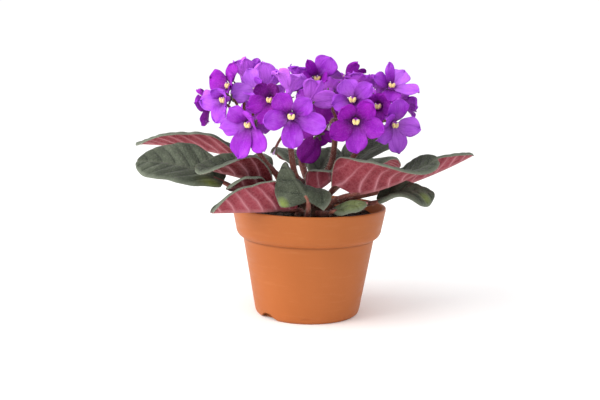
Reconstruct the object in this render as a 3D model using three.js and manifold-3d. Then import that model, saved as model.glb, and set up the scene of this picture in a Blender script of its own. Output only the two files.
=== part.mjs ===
// African violet in a shallow terracotta-coloured pot, in flower.
// Millimetres, +Z up. The origin is the middle of the pot's flat underside, and -Y is the front.
// Places on the plant are [x, y, z]. A facing is [turn, rise] in degrees: turn 0 looks to the
// front (-Y) and grows to the right (+X), and rise is the angle above the horizon.
import * as THREE from "three";
import { mergeVertices } from "three/addons/utils/BufferGeometryUtils.js";
import Module from "manifold-3d";

const wasm = await Module();
wasm.setup();

const UP = new THREE.Vector3(0, 0, 1);
const GAP = 0.3; // clearance between pieces that rest on each other

// Driving dimensions

const POT = {
  height: 74.3,
  wall: 1.6,
  floor: 2,
  footRadius: 34,
  footCorner: 3.2,
  wallFootRadius: 36.3,
  collarHeight: 52.9,
  neckRadius: 45,
  collarRadius: 49.9,
  collarCorner: 6.6,
  rimRadius: 52.5,
  lip: 1.5,
  sides: 40,
};
const NOTCH = { width: 18, height: 4.2, open: [-47, 133], blind: [1, 181], blindRadius: 35.9 };
const SOIL = { level: 66, rings: 5, sides: 20, crumb: 1.1 };
const CROWN = { radius: 10, base: 42, shoulder: 74, top: 83, sides: 12 };
const LEAF = { thickness: 1.1, wave: 0.6, petioleRoot: 2.3, petioleTip: 1.5, stations: 7 };
const PETAL = {
  thickness: 0.7,
  stations: [0, 0.34, 0.7, 1],
  widths: [0, 0.86, 1, 0.56],
  pullBack: 0.07,
  clear: 0.5,
};
const BLOOM = { throat: 3, tubeLength: 4.4, tubeBack: 1.7, upper: 0.78, halfWidth: 0.35 };
const STALK = { root: 2.3, fork: 1.7, pedicel: 0.95, sepal: 4.6, valley: 1.7 };

const COLOURS = {
  pot: { color: 0xc8733f, roughness: 0.55 },
  soil: { color: 0x2a1b13, roughness: 1 },
  crown: { color: 0x5d4a33, roughness: 0.9 },
  leaf: { color: 0x4c5a45, roughness: 0.85 },
  stalk: { color: 0x6f4238, roughness: 0.8 },
  petal: { color: 0x9a35dc, roughness: 0.7 },
  anther: { color: 0xe9c95a, roughness: 0.75 },
};

// Geometry helpers

const vec = (p) => new THREE.Vector3(...p);
const radians = THREE.MathUtils.degToRad;
const lerp = THREE.MathUtils.lerp;

// A repeatable stand-in for chance: the same number for the same place.
const chance = (i, j = 0) => {
  const x = Math.sin(i * 127.1 + j * 311.7) * 43758.5453;
  return x - Math.floor(x);
};

function facing([turn, rise]) {
  const [a, e] = [radians(turn), radians(rise)];
  return new THREE.Vector3(Math.sin(a) * Math.cos(e), -Math.cos(a) * Math.cos(e), Math.sin(e));
}

// A closed mesh as a manifold-3d solid.
function solid(geometry) {
  const bare = geometry.index ? geometry.toNonIndexed() : geometry;
  const position = bare.getAttribute("position");
  const merged = mergeVertices(new THREE.BufferGeometry().setAttribute("position", position), 1e-4);
  const mesh = { numProp: 3, vertProperties: merged.attributes.position.array, triVerts: merged.index.array };
  mesh.triVerts = new Uint32Array(mesh.triVerts);
  const made = new wasm.Manifold(new wasm.Mesh(mesh));
  if (made.volume() > 0) return made;
  for (let i = 0; i < mesh.triVerts.length; i += 3) {
    [mesh.triVerts[i + 1], mesh.triVerts[i + 2]] = [mesh.triVerts[i + 2], mesh.triVerts[i + 1]];
  }
  return new wasm.Manifold(new wasm.Mesh(mesh));
}

const fuse = (solids) => solids.reduce((all, next) => all.add(next));

function geometryOf(manifold) {
  const mesh = manifold.getMesh();
  return new THREE.BufferGeometry()
    .setAttribute("position", new THREE.BufferAttribute(mesh.vertProperties, 3))
    .setIndex(new THREE.BufferAttribute(mesh.triVerts, 1));
}

function node(name, manifold, look) {
  const geometry = geometryOf(manifold);
  geometry.computeVertexNormals();
  const material = new THREE.MeshStandardMaterial({ metalness: 0, flatShading: true, ...look });
  const mesh = new THREE.Mesh(geometry, material);
  mesh.name = name;
  return mesh;
}

// A closed skin over rows of points: each row joins the next, and the first and last are capped.
function skin(rows, wrap) {
  const points = rows.flat();
  const n = rows[0].length;
  const faces = [];
  const columns = wrap ? n : n - 1;
  for (let i = 0; i + 1 < rows.length; i++) {
    for (let j = 0; j < columns; j++) {
      const [a, b] = [i * n + j, i * n + ((j + 1) % n)];
      faces.push(a, b, b + n, a, b + n, a + n);
    }
  }
  for (let j = 1; j + 1 < n; j++) {
    faces.push(0, j + 1, j);
    const last = (rows.length - 1) * n;
    faces.push(last, last + j, last + j + 1);
  }
  const flat = new Float32Array(points.flatMap((p) => p.toArray()));
  const geometry = new THREE.BufferGeometry().setAttribute("position", new THREE.BufferAttribute(flat, 3));
  return geometry.setIndex(faces);
}

// A round stem along a curve, from one radius to another.
function stem(curve, from, to, sides, steps) {
  const frames = curve.computeFrenetFrames(steps, false);
  const rows = [];
  for (let i = 0; i <= steps; i++) {
    const centre = curve.getPointAt(i / steps);
    const radius = lerp(from, to, i / steps);
    const row = [];
    for (let k = 0; k < sides; k++) {
      const a = (2 * Math.PI * k) / sides;
      const out = frames.normals[i].clone().multiplyScalar(Math.cos(a) * radius);
      out.addScaledVector(frames.binormals[i], Math.sin(a) * radius);
      row.push(out.add(centre));
    }
    rows.push(row);
  }
  return solid(skin(rows, true));
}

// A thin blade of even thickness over a grid of points, stations by columns.
function blade(grid, thickness) {
  const [rows, columns] = [grid.length, grid[0].length];
  const at = (i, j) => grid[Math.min(rows - 1, Math.max(0, i))][Math.min(columns - 1, Math.max(0, j))];
  const offset = (i, j, side) => {
    const along = at(i + 1, j).clone().sub(at(i - 1, j));
    const across = at(i, j + 1).clone().sub(at(i, j - 1));
    return at(i, j).clone().addScaledVector(along.cross(across).normalize(), (side * thickness) / 2);
  };
  const loops = grid.map((row, i) => {
    const top = row.map((_, j) => offset(i, j, 1));
    const bottom = row.map((_, j) => offset(i, j, -1)).reverse();
    return [...top, ...bottom];
  });
  const n = 2 * columns;
  const points = loops.flat();
  const faces = [];
  const quad = (a, b, c, d, slant) => faces.push(...(slant ? [a, b, c, a, c, d] : [a, b, d, b, c, d]));
  for (let i = 0; i + 1 < rows; i++) {
    for (let j = 0; j < n; j++) {
      const [a, b] = [i * n + j, i * n + ((j + 1) % n)];
      const upper = j < columns - 1;
      const lower = j >= columns && j < n - 1;
      const column = upper ? j : n - 2 - j;
      const near = column < (columns - 1) / 2;
      quad(a, b, b + n, a + n, lower ? !near : near);
    }
  }
  for (let j = 0; j + 1 < columns; j++) {
    quad(j, n - 1 - j, n - 2 - j, j + 1, true);
    const last = (rows - 1) * n;
    quad(last + j, last + j + 1, last + n - 2 - j, last + n - 1 - j, true);
  }
  const flat = new Float32Array(points.flatMap((p) => p.toArray()));
  return solid(
    new THREE.BufferGeometry().setAttribute("position", new THREE.BufferAttribute(flat, 3)).setIndex(faces),
  );
}

// Pot

// The inside of the pot as [radius, height], from the floor up to the lip.
const POT_INSIDE = [
  [POT.footRadius - 2.5, POT.floor],
  [POT.wallFootRadius - POT.wall, POT.footCorner + 1],
  [POT.neckRadius - POT.wall, POT.collarHeight + 1],
  [POT.collarRadius - POT.wall, POT.collarHeight + POT.collarCorner],
  [POT.rimRadius - POT.wall - 0.4, POT.height - 0.7],
];

function potShell() {
  const p = POT;
  const path = new THREE.Path();
  path.moveTo(0, 0);
  path.lineTo(p.footRadius, 0);
  path.quadraticCurveTo(p.footRadius + 1.6, 0, p.wallFootRadius, p.footCorner);
  path.lineTo(p.neckRadius, p.collarHeight);
  const cornerTop = p.collarHeight + p.collarCorner;
  path.quadraticCurveTo(p.collarRadius - 0.4, p.collarHeight + 2.6, p.collarRadius, cornerTop);
  path.lineTo(p.rimRadius, p.height - p.lip);
  path.quadraticCurveTo(p.rimRadius, p.height, p.rimRadius - p.lip, p.height);
  for (const [radius, height] of POT_INSIDE.toReversed()) path.lineTo(radius, height);
  path.lineTo(0, p.floor);
  return solid(new THREE.LatheGeometry(path.getPoints(2), p.sides).rotateX(Math.PI / 2));
}

// A half-round bar that lies along a radius, at a turn round the pot.
function notchCutter(turn, from) {
  const arch = new THREE.Shape();
  arch.moveTo(-NOTCH.width / 2, -1);
  arch.lineTo(NOTCH.width / 2, -1);
  arch.lineTo(NOTCH.width / 2, 0);
  arch.bezierCurveTo(NOTCH.width / 3, 0.2, NOTCH.width / 4, NOTCH.height, 0, NOTCH.height);
  arch.bezierCurveTo(-NOTCH.width / 4, NOTCH.height, -NOTCH.width / 3, 0.2, -NOTCH.width / 2, 0);
  const bar = new THREE.ExtrudeGeometry(arch, { depth: 10, bevelEnabled: false, curveSegments: 4 });
  return solid(bar.rotateX(Math.PI / 2).translate(0, -from, 0).rotateZ(radians(turn)));
}

function pot() {
  const cutters = [
    ...NOTCH.open.map((turn) => notchCutter(turn, POT.footRadius - 3)),
    ...NOTCH.blind.map((turn) => notchCutter(turn, NOTCH.blindRadius)),
  ];
  return cutters.reduce((shell, cutter) => shell.subtract(cutter), potShell());
}

// Soil

function soil() {
  const top = (radius, turn) => {
    const lumps = Math.sin(radius * 0.55 + turn * 3) * Math.cos(turn * 5 + radius * 0.2);
    return SOIL.level + SOIL.crumb * (lumps + chance(Math.round(radius), Math.round(turn * 9)) - 0.5);
  };
  const rows = POT_INSIDE.slice(0, -1).map(([radius, height]) => ring(radius - GAP, () => height + GAP));
  const edge = POT_INSIDE[3][0] - GAP;
  for (let k = 0; k < SOIL.rings; k++) rows.push(ring(edge * (1 - (k * 0.9) / SOIL.rings), top));
  return solid(skin(rows, true)).subtract(crownShape(GAP));
}

function ring(radius, height) {
  return Array.from({ length: SOIL.sides }, (_, k) => {
    const turn = (2 * Math.PI * k) / SOIL.sides;
    return new THREE.Vector3(radius * Math.cos(turn), radius * Math.sin(turn), height(radius, turn));
  });
}

// Crown: the short trunk that every petiole and stalk grows from

function crownShape(grow) {
  const path = new THREE.Path();
  path.moveTo(0, CROWN.base - grow);
  path.lineTo(CROWN.radius * 0.6 + grow, CROWN.base - grow);
  path.lineTo(CROWN.radius + grow, CROWN.base + 14);
  path.lineTo(CROWN.radius + grow, CROWN.shoulder);
  path.quadraticCurveTo(CROWN.radius + grow, CROWN.top + grow, 0, CROWN.top + grow);
  return solid(new THREE.LatheGeometry(path.getPoints(4), CROWN.sides).rotateX(Math.PI / 2));
}

// The crown's radius at a height, which falls away above its shoulder, and its height at a place.
function crownRadius(height) {
  const above = Math.max(0, (height - CROWN.shoulder) / (CROWN.top - CROWN.shoulder));
  return CROWN.radius * (1 - (1 - Math.sqrt(1 - above)) ** 2);
}

function crownTop(x, y) {
  const t = 1 - Math.sqrt(1 - Math.min(1, Math.hypot(x, y) / CROWN.radius));
  return CROWN.top - (CROWN.top - CROWN.shoulder) * t * t;
}

// Leaves
// from: where the petiole leaves the crown, as [turn, height]. via: a point that it bends through.
// base and tip: the ends of the blade. widest: where along it the blade is widest. roll: how far
// it is turned about its midrib. left and right: how steeply each half rises from the midrib, at
// the base, the middle and the tip. arch: how high the midrib bows. lobe: how far the right half
// hangs back past the base, where the blade is heart-shaped.

const LEAVES = {
  leaf_left_back: {
    from: [-115, 77], via: [-28, 5, 100], base: [-50, 12, 106], tip: [-122, 21, 113],
    width: 44, widest: 0.42, roll: 0, left: [38, 34, 4], right: [22, 14, 0], arch: 2,
  },
  leaf_left: {
    from: [-75, 71], via: [-38, -13, 81], base: [-57, -21, 92], tip: [-114, -20, 104],
    width: 41, widest: 0.56, roll: -20, left: [4, 0, -6], right: [34, 26, 10], arch: 4,
  },
  leaf_left_front: {
    from: [-52, 75], via: [-20, -17, 86], base: [-26, -26, 91], tip: [-73, -36, 103],
    width: 40, widest: 0.42, roll: 0, left: [60, 44, -24], right: [46, 44, 10], arch: 1,
  },
  leaf_front_left: {
    from: [-28, 70], via: [-5, -27, 74], base: [-8, -36, 77], tip: [-60, -57, 77.4],
    width: 42, widest: 0.42, roll: 0, left: [66, 72, 50], right: [34, 30, 14], arch: 0,
  },
  leaf_left_low: {
    from: [-30, 78], via: [-11, -21, 87], base: [-28, -34.5, 90.5], tip: [-52, -45, 91.5],
    width: 22, widest: 0.42, roll: 0, left: [62, 56, 40], right: [-6, -12, -10], arch: 0,
  },
  leaf_front: {
    from: [-6, 69], via: [-1, -37, 72], base: [-1, -54, 85.5], tip: [-15.5, -48, 108.5],
    width: 35, widest: 0.19, roll: -68, left: [-10, -12, -30], right: [10, -98, -94], arch: 2, lobe: 11,
  },
  leaf_front_low: {
    from: [33, 70], via: [13, -33, 74], base: [15, -45, 77.5], tip: [37, -42, 83],
    width: 11, widest: 0.45, roll: 42, left: [6, 2, 0], right: [4, 2, 0], arch: 1,
  },
  leaf_right_front: {
    from: [52, 73], via: [18, -24, 82], base: [27.5, -34.5, 87.5], tip: [79, -46, 112],
    width: 56, widest: 0.14, roll: 0, left: [20, 14, 40], right: [78, 38, -26], arch: -4, lobe: 12,
  },
  leaf_right_low: {
    from: [73, 70], via: [32, -14, 77], base: [45, -26, 82], tip: [82, -24, 87],
    width: 34, widest: 0.5, roll: 10, left: [16, 8, 0], right: [16, 6, -54], arch: 4,
  },
  leaf_right: {
    from: [92, 76], via: [32, -3, 81], base: [46, -4, 85], tip: [110, 2, 111],
    width: 40, widest: 0.42, roll: 0, left: [14, 10, 6], right: [40, 42, 34], arch: -2,
  },
  leaf_right_back: {
    from: [128, 78], via: [22, 12, 92], base: [28, 16, 98], tip: [60, 34, 118],
    width: 42, widest: 0.42, roll: 12, left: [14, 8, 0], right: [34, 20, 0], arch: 4,
  },
  leaf_back_right: {
    from: [155, 73], via: [22, 36, 84], base: [32, 50, 91], tip: [62, 90, 92],
    width: 46, widest: 0.42, roll: 0, left: [16, 8, -14], right: [16, 8, -14], arch: 8,
  },
  leaf_back: {
    from: [-170, 71], via: [-2, 30, 86], base: [-4, 44, 96], tip: [-8, 104, 96],
    width: 48, widest: 0.42, roll: 0, left: [16, 8, -14], right: [16, 8, -14], arch: 8,
  },
  leaf_back_left: {
    from: [-145, 71], via: [-24, 34, 82], base: [-36, 50, 90], tip: [-72, 86, 90],
    width: 46, widest: 0.42, roll: 0, left: [16, 8, -14], right: [16, 8, -14], arch: 8,
  },
};

// The young leaves in the heart of the rosette, which are still part of the crown.
const YOUNG_LEAVES = [
  {
    from: [20, 77], via: [2.5, -16, 82], base: [2.5, -20, 87], tip: [21, -25, 105],
    width: 30, widest: 0.32, roll: 0, left: [20, 24, 30], right: [76, 56, -30], arch: -2, lobe: 3,
  },
  {
    from: [175, 77], via: [3, 12, 86], base: [6, 15, 92], tip: [16, 32, 112],
    width: 26, widest: 0.42, roll: 0, left: [24, 12, 0], right: [24, 12, 0], arch: 0,
  },
];

// Half the width of a blade along its length, as a share of its widest half.
function leafOutline(u, c) {
  const t = u < c ? (c - u) / (c * 1.05) : (u - c) / ((1 - c) * 1.015);
  return Math.sqrt(Math.max(0, 1 - t * t));
}

function leafFrame(leaf) {
  const [base, tip] = [vec(leaf.base), vec(leaf.tip)];
  const along = tip.clone().sub(base);
  const length = along.length();
  along.normalize();
  const normal = UP.clone().addScaledVector(along, -UP.dot(along)).normalize();
  normal.applyAxisAngle(along, radians(leaf.roll));
  return { base, along, normal, length };
}

function midrib(leaf, frame, u) {
  const bow = leaf.arch * 4 * u * (1 - u);
  return frame.base.clone().addScaledVector(frame.along, frame.length * u).addScaledVector(frame.normal, bow);
}

function leafGrid(leaf) {
  const frame = leafFrame(leaf);
  const grid = [];
  for (let i = 0; i <= LEAF.stations; i++) {
    const u = 0.5 - 0.5 * Math.cos((Math.PI * i) / LEAF.stations);
    const centre = midrib(leaf, frame, u);
    const slope = (leaf.arch * 4 * (1 - 2 * u)) / frame.length;
    const along = frame.along.clone().addScaledVector(frame.normal, slope).normalize();
    const normal = frame.normal.clone().addScaledVector(along, -frame.normal.dot(along)).normalize();
    const right = along.clone().cross(normal);
    const step = (leaf.width / 4) * leafOutline(u, leaf.widest);
    const row = [centre];
    [-1, 1].forEach((side) => {
      const [root, middle, end] = side < 0 ? leaf.left : leaf.right;
      const back = side < 0 ? 0 : ((leaf.lobe ?? 0) / 2) * (1 - u) ** 3;
      const fold = root * (1 - u) * (1 - 2 * u) + middle * 4 * u * (1 - u) + end * u * (2 * u - 1);
      const wave = LEAF.wave * Math.sin(i * 2.4 + side + leaf.tip[0]) * leafOutline(u, leaf.widest);
      let edge = centre;
      for (const bend of [0.9, 1.2]) {
        const rise = radians(bend * fold);
        edge = edge.clone().addScaledVector(right, side * step * Math.cos(rise)).addScaledVector(along, -back);
        edge.addScaledVector(normal, step * Math.sin(rise) + (bend > 1 ? wave : 0));
        if (side < 0) row.unshift(edge);
        else row.push(edge);
      }
    });
    grid.push(row);
  }
  return { grid, frame };
}

// The petiole ends inside the blade. A leaf of the rosette keeps clear of the crown, and a young
// one is rooted in it.
function petiole(leaf, frame, clearance) {
  const [turn, height] = leaf.from;
  const out = facing([turn, 0]);
  const root = out.clone().multiplyScalar(crownRadius(height) + clearance).setZ(height);
  const start = out.clone().multiplyScalar(CROWN.radius + 5).setZ(height + 0.4);
  const end = midrib(leaf, frame, 0.12).addScaledVector(frame.normal, -0.35);
  const points = [root, start, vec(leaf.via), midrib(leaf, frame, 0).addScaledVector(frame.normal, -0.6), end];
  return stem(new THREE.CatmullRomCurve3(points), LEAF.petioleRoot, LEAF.petioleTip, 5, 6);
}

function leaf(entry, clearance = 0.5) {
  const { grid, frame } = leafGrid(entry);
  return blade(grid, LEAF.thickness).add(petiole(entry, frame, clearance));
}

// Blooms
// at: the middle of the flower. face: which way it looks. size: the length of a lower petal.
// roll: its turn in its own plane, and cup: how far its petals lean forward, in degrees. petals:
// for a bloom seen well, each petal's direction in the flower's plane and its lean, in degrees,
// and its length and half its width as shares of the size. sag: how far the pedicel hangs below a
// straight way, where it passes under another bloom.

const BLOOMS = {
  a: { spray: "left", at: [-68, -6, 141.5], face: [-95, -12], roll: 30, size: 16, cup: 30 },
  b: {
    spray: "left", at: [-56, -27, 145.5], face: [-36, -8], size: 19,
    petals: [
      [122, 56, 0.6, 0.26], [50, 60, 0.62, 0.3], [-20, 62, 0.7, 0.3],
      [-114, 16, 0.86, 0.33], [-178, 12, 1, 0.36],
    ],
  },
  c: {
    spray: "left", at: [-54.5, -8, 154], face: [-48, 8], size: 18,
    petals: [
      [82, 8, 0.85, 0.33], [28, 46, 0.9, 0.28], [-40, 50, 0.8, 0.3],
      [-112, 34, 0.7, 0.3], [-196, 18, 1.05, 0.4],
    ],
  },
  d: {
    spray: "left", at: [-35.8, -16, 152], face: [-20, 20], size: 20,
    petals: [
      [120, 12, 0.8, 0.3], [50, 60, 0.5, 0.28], [-10, 76, 0.6, 0.3],
      [-85, 78, 0.6, 0.33], [-164, 14, 0.88, 0.36],
    ],
  },
  h: {
    spray: "left", at: [-38.5, -47, 131], face: [-28, -9], size: 20.5,
    petals: [
      [128, 36, 0.8, 0.31], [38, 60, 0.76, 0.33], [-50, 18, 1, 0.32],
      [-108, 21, 1.12, 0.34], [-175, 20, 0.95, 0.28],
    ],
  },
  x: {
    spray: "left", at: [-41.7, 4, 160.3], face: [165, 36], size: 18,
    petals: [
      [122, 50, 0.8, 0.22], [86, 14, 0.8, 0.3], [46, 14, 0.85, 0.33],
      [-40, 40, 0.8, 0.33], [-120, 40, 0.8, 0.33],
    ],
  },
  e: {
    spray: "front", at: [-29, -4, 153.3], face: [176, 14], size: 20,
    petals: [
      [118, 14, 0.7, 0.24], [78, 8, 0.9, 0.36], [0, 30, 0.5, 0.3],
      [-80, 20, 0.8, 0.33], [-150, 20, 0.6, 0.3],
    ],
  },
  f: { spray: "front", at: [-25.5, -34, 146], face: [-38, 0], roll: 0, size: 17, cup: 34 },
  g: {
    spray: "front", at: [-12, -57.5, 137], face: [2, -4], size: 21,
    petals: [
      [123, 8, 0.78, 0.3], [43, 8, 0.76, 0.29], [-15, 4, 1.05, 0.31],
      [-86, 8, 0.93, 0.31], [-168, 10, 0.83, 0.29],
    ],
  },
  i: { spray: "front", at: [-14.3, -20, 152.5], face: [150, 62], roll: 20, size: 20, cup: 46 },
  k: {
    spray: "front", at: [-1.4, -24, 145.1], face: [176, 20], size: 19,
    petals: [
      [172, 8, 0.95, 0.33], [120, 16, 0.82, 0.22], [94, 8, 0.85, 0.24],
      [20, 40, 0.55, 0.3], [-70, 30, 0.6, 0.33],
    ],
  },
  l: {
    spray: "centre", at: [3.6, -3, 160], face: [-8, 14], size: 18,
    petals: [
      [120, 60, 0.95, 0.18], [58, 14, 0.95, 0.44], [-18, 60, 0.6, 0.3],
      [-90, 72, 0.6, 0.33], [-162, 56, 0.66, 0.33],
    ],
  },
  o: {
    spray: "centre", at: [26, -35, 147], face: [-4, 8], size: 17,
    petals: [
      [112, 16, 0.82, 0.4], [40, 18, 0.95, 0.32], [-30, 20, 0.95, 0.32],
      [-97, 20, 0.85, 0.32], [-166, 18, 0.8, 0.32],
    ],
  },
  p: {
    spray: "centre", at: [27.5, -51, 134.5], face: [2, -10], size: 20, sag: 10,
    petals: [
      [137, 22, 0.66, 0.31], [50, 14, 0.76, 0.31], [-18, 12, 0.95, 0.33],
      [-86, 8, 1, 0.33], [-150, 12, 0.92, 0.33],
    ],
  },
  n: { spray: "centre", at: [30.7, -14, 157.2], face: [160, 50], roll: 20, size: 13, cup: 44 },
  q: { spray: "right", at: [43.5, -24, 143], face: [-24, 4], roll: 10, size: 14, cup: 45 },
  r: {
    spray: "right", at: [52.6, -12, 155.5], face: [0, 40], size: 17,
    petals: [
      [155, 30, 0.86, 0.3], [104, 60, 1, 0.18], [52, 20, 0.9, 0.4],
      [-24, 22, 1.15, 0.26], [-94, 12, 0.8, 0.36],
    ],
  },
  s: {
    spray: "right", at: [53, -32, 132], face: [22, -14], size: 19,
    petals: [
      [150, 46, 0.75, 0.28], [92, 14, 0.95, 0.35], [-4, 18, 0.92, 0.34],
      [-74, 12, 1.02, 0.36], [-140, 18, 0.82, 0.32],
    ],
  },
  t: { spray: "right", at: [62, -1, 146.5], face: [104, 14], roll: 0, size: 15, cup: 24 },
  u: { spray: "right", at: [46.5, 10, 153.5], face: [150, 60], roll: 0, size: 15, cup: 48 },
  j: { spray: "back", at: [-8, 8, 160], face: [160, 64], roll: 0, size: 15, cup: 50 },
  m: {
    spray: "back", at: [23.1, 3, 160.9], face: [160, 62], size: 17,
    petals: [
      [140, 55, 0.9, 0.25], [16, 12, 0.9, 0.42], [-40, 40, 0.9, 0.3],
      [-85, 50, 1, 0.36], [-145, 50, 1, 0.3],
    ],
  },
  v: {
    spray: "centre", at: [5.4, 1, 122.4], face: [176, -6], size: 22,
    petals: [
      [102, 4, 1.05, 0.44], [20, 20, 0.8, 0.3], [-60, 8, 1, 0.36],
      [-130, 50, 0.45, 0.3], [-190, 14, 0.6, 0.3],
    ],
  },
  w: { spray: "back", at: [-38, 32, 131], face: [-140, -4], roll: 0, size: 20, cup: 24 },
  y: { spray: "back", at: [42, 34, 141], face: [128, 0], roll: 0, size: 20, cup: 26 },
  z: { spray: "back", at: [14, 40, 152], face: [165, 30], roll: 0, size: 20, cup: 34 },
};

// The blooms whose yellow anthers are seen: they are pieces of their own. In the others,
// which look away or up among their neighbours, the throat holds them.
const OPEN_TO_VIEW = ["b", "c", "f", "g", "h", "k", "o", "p", "q", "r", "s", "v"];

// Two short upper petals and three long lower ones, at these angles in the flower's plane.
const PETAL_ANGLES = [126, 54, -18, -90, -162];

function bloomFrame(bloom) {
  const out = facing(bloom.face);
  const flat = UP.clone().addScaledVector(out, -UP.dot(out)).normalize();
  const right = flat.clone().cross(out);
  return { centre: vec(bloom.at), out, flat, right };
}

// Each petal of a bloom as [direction, lean, length, half width], as in the table above.
function petalsOf(bloom) {
  if (bloom.petals) return bloom.petals;
  return PETAL_ANGLES.map((angle, number) => {
    const small = number < 2;
    const lean = bloom.cup + 10 * (chance(number, bloom.size + bloom.at[0]) - 0.5);
    return [angle + bloom.roll, lean, small ? BLOOM.upper : 1, BLOOM.halfWidth * (small ? 0.9 : 1)];
  });
}

// The middle surface of a petal: stations from the throat to the tip, each [left, middle, right].
// Near the throat it stays inside its own sector, half way to the next petal on each side.
function petalGrid(bloom, frame, petals, number) {
  const inPlane = (degrees) => {
    const turn = radians(degrees);
    return frame.right.clone().multiplyScalar(Math.cos(turn)).addScaledVector(frame.flat, Math.sin(turn));
  };
  const [angle, lean, reach, halfShare] = petals[number];
  const before = (number > 0 ? petals[number - 1][0] : petals[4][0] + 360) - angle;
  const after = angle - (number < 4 ? petals[number + 1][0] : petals[0][0] - 360);
  const along = inPlane(angle);
  const across = along.clone().cross(frame.out);
  const length = bloom.size * reach - BLOOM.throat;
  const root = [before / 2, 0, -after / 2].map((aside) =>
    frame.centre.clone().addScaledVector(inPlane(angle + aside), BLOOM.throat * (aside ? 1 : 0.9)),
  );
  let spine = root[1];
  const rows = PETAL.stations.slice(1).map((u, i) => {
    const rise = radians(lean * (1.25 - 0.75 * u));
    const step = length * (u - PETAL.stations[i]);
    const outward = along.clone().multiplyScalar(Math.cos(rise)).addScaledVector(frame.out, Math.sin(rise));
    spine = spine.clone().addScaledVector(outward, step);
    const radius = spine.clone().sub(frame.centre).dot(along);
    return [-1, 0, 1].map((v) => {
      const sector = radius * Math.tan(radians(Math.min(60, (v < 0 ? before : after) / 2))) - PETAL.clear;
      const width = Math.min(bloom.size * halfShare * PETAL.widths[i + 1], sector);
      const wave = 0.9 * (chance(number + 7 * v, bloom.at[2] + i) - 0.5);
      const lift = v === 0 ? -width * 0.12 : width * 0.14 + wave;
      const point = spine.clone().addScaledVector(across, v * width).addScaledVector(frame.out, lift);
      return u === 1 && v !== 0 ? point.addScaledVector(outward, -PETAL.pullBack * length) : point;
    });
  });
  return [root, ...rows];
}

// A corolla in one skin: five petals of even thickness that part at the throat, and the short
// tube behind them, which narrows towards the calyx.
function corolla(bloom) {
  const frame = bloomFrame(bloom);
  const points = [];
  const faces = [];
  const put = (point) => points.push(point) - 1;
  const quad = (a, b, c, d) => faces.push(a, b, c, a, c, d);
  const half = PETAL.thickness / 2;
  const shift = (point, normal, side) => put(point.clone().addScaledVector(normal, side * half));
  const ring = [];
  const rows = petalsOf(bloom);
  const petals = rows.map((_, number) => petalGrid(bloom, frame, rows, number));
  petals.forEach(([root]) => {
    for (const point of root.slice(0, 2)) ring.push([shift(point, frame.out, 1), shift(point, frame.out, -1)]);
  });
  petals.forEach((grid, number) => {
    const rim = [0, 1, 2].map((j) => ring[(2 * number + j) % ring.length]);
    const skins = [rim];
    for (let i = 1; i < grid.length; i++) {
      const before = grid[i - 1];
      const after = grid[Math.min(grid.length - 1, i + 1)];
      skins.push(
        grid[i].map((point, j) => {
          const across = grid[i][Math.min(2, j + 1)].clone().sub(grid[i][Math.max(0, j - 1)]);
          const normal = across.cross(after[j].clone().sub(before[j])).normalize();
          return [shift(point, normal, 1), shift(point, normal, -1)];
        }),
      );
    }
    for (let i = 0; i + 1 < skins.length; i++) {
      const [near, far] = [skins[i], skins[i + 1]];
      quad(near[0][0], near[1][0], far[1][0], far[0][0]);
      quad(near[1][0], near[2][0], far[2][0], far[1][0]);
      quad(near[0][1], far[0][1], far[1][1], near[1][1]);
      quad(near[1][1], far[1][1], far[2][1], near[2][1]);
      quad(near[0][0], far[0][0], far[0][1], near[0][1]);
      quad(near[2][0], near[2][1], far[2][1], far[2][0]);
    }
    const tip = skins.at(-1);
    quad(tip[0][0], tip[1][0], tip[1][1], tip[0][1]);
    quad(tip[1][0], tip[2][0], tip[2][1], tip[1][1]);
  });
  const middle = put(frame.centre);
  const back = frame.centre.clone().addScaledVector(frame.out, -BLOOM.tubeLength);
  const end = put(back);
  const foot = ring.map(([, lower]) => {
    const away = points[lower].clone().sub(frame.centre).projectOnPlane(frame.out).setLength(BLOOM.tubeBack);
    return put(back.clone().add(away));
  });
  ring.forEach(([upper, lower], k) => {
    const next = (k + 1) % ring.length;
    faces.push(middle, ring[next][0], upper, end, foot[k], foot[next]);
    quad(lower, ring[next][1], foot[next], foot[k]);
  });
  const flat = new Float32Array(points.flatMap((p) => p.toArray()));
  return solid(
    new THREE.BufferGeometry().setAttribute("position", new THREE.BufferAttribute(flat, 3)).setIndex(faces),
  );
}

// Two plump anthers side by side in the throat.
function anthers(bloom) {
  const frame = bloomFrame(bloom);
  const basis = new THREE.Matrix4().makeBasis(frame.right, frame.flat, frame.out);
  const lobes = [-1, 1].map((side) => {
    const lobe = new THREE.IcosahedronGeometry(1, 0).scale(1.4, 1.6, 1.3);
    const middle = frame.centre.clone().addScaledVector(frame.out, 1.3 + GAP + 0.1);
    return solid(lobe.applyMatrix4(basis.setPosition(middle.addScaledVector(frame.right, side * 1.15))));
  });
  return fuse(lobes);
}

// Flower stalks
// from: where the stalk stands on the crown. via and fork: the points that it grows through, to
// where it parts. buds: the small buds on it, as [place, facing].

const SPRAYS = {
  left: {
    from: [-5, -2], via: [-24, -13, 98], fork: [-42, -18, 124],
    buds: [[[-53.5, -33, 132], [-60, -20]]],
  },
  front: {
    from: [-1.5, -5.5], via: [-9.5, -25, 98], fork: [-14, -31, 127],
    buds: [[[-22, -42, 116], [-40, -60]]],
  },
  centre: {
    from: [3.5, -2], via: [13.5, -7, 102], fork: [17, -16, 132],
    buds: [[[12, -38, 131], [-10, -40]]],
  },
  right: {
    from: [5, 3], via: [24, -4, 102], fork: [41, -6, 128],
    buds: [[[60, -14, 122], [60, -50]]],
  },
  back: {
    from: [-1, 5.5], via: [-6, 15, 102], fork: [-8, 20, 134],
    buds: [[[-14, 36, 124], [-170, -30]]],
  },
};

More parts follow.
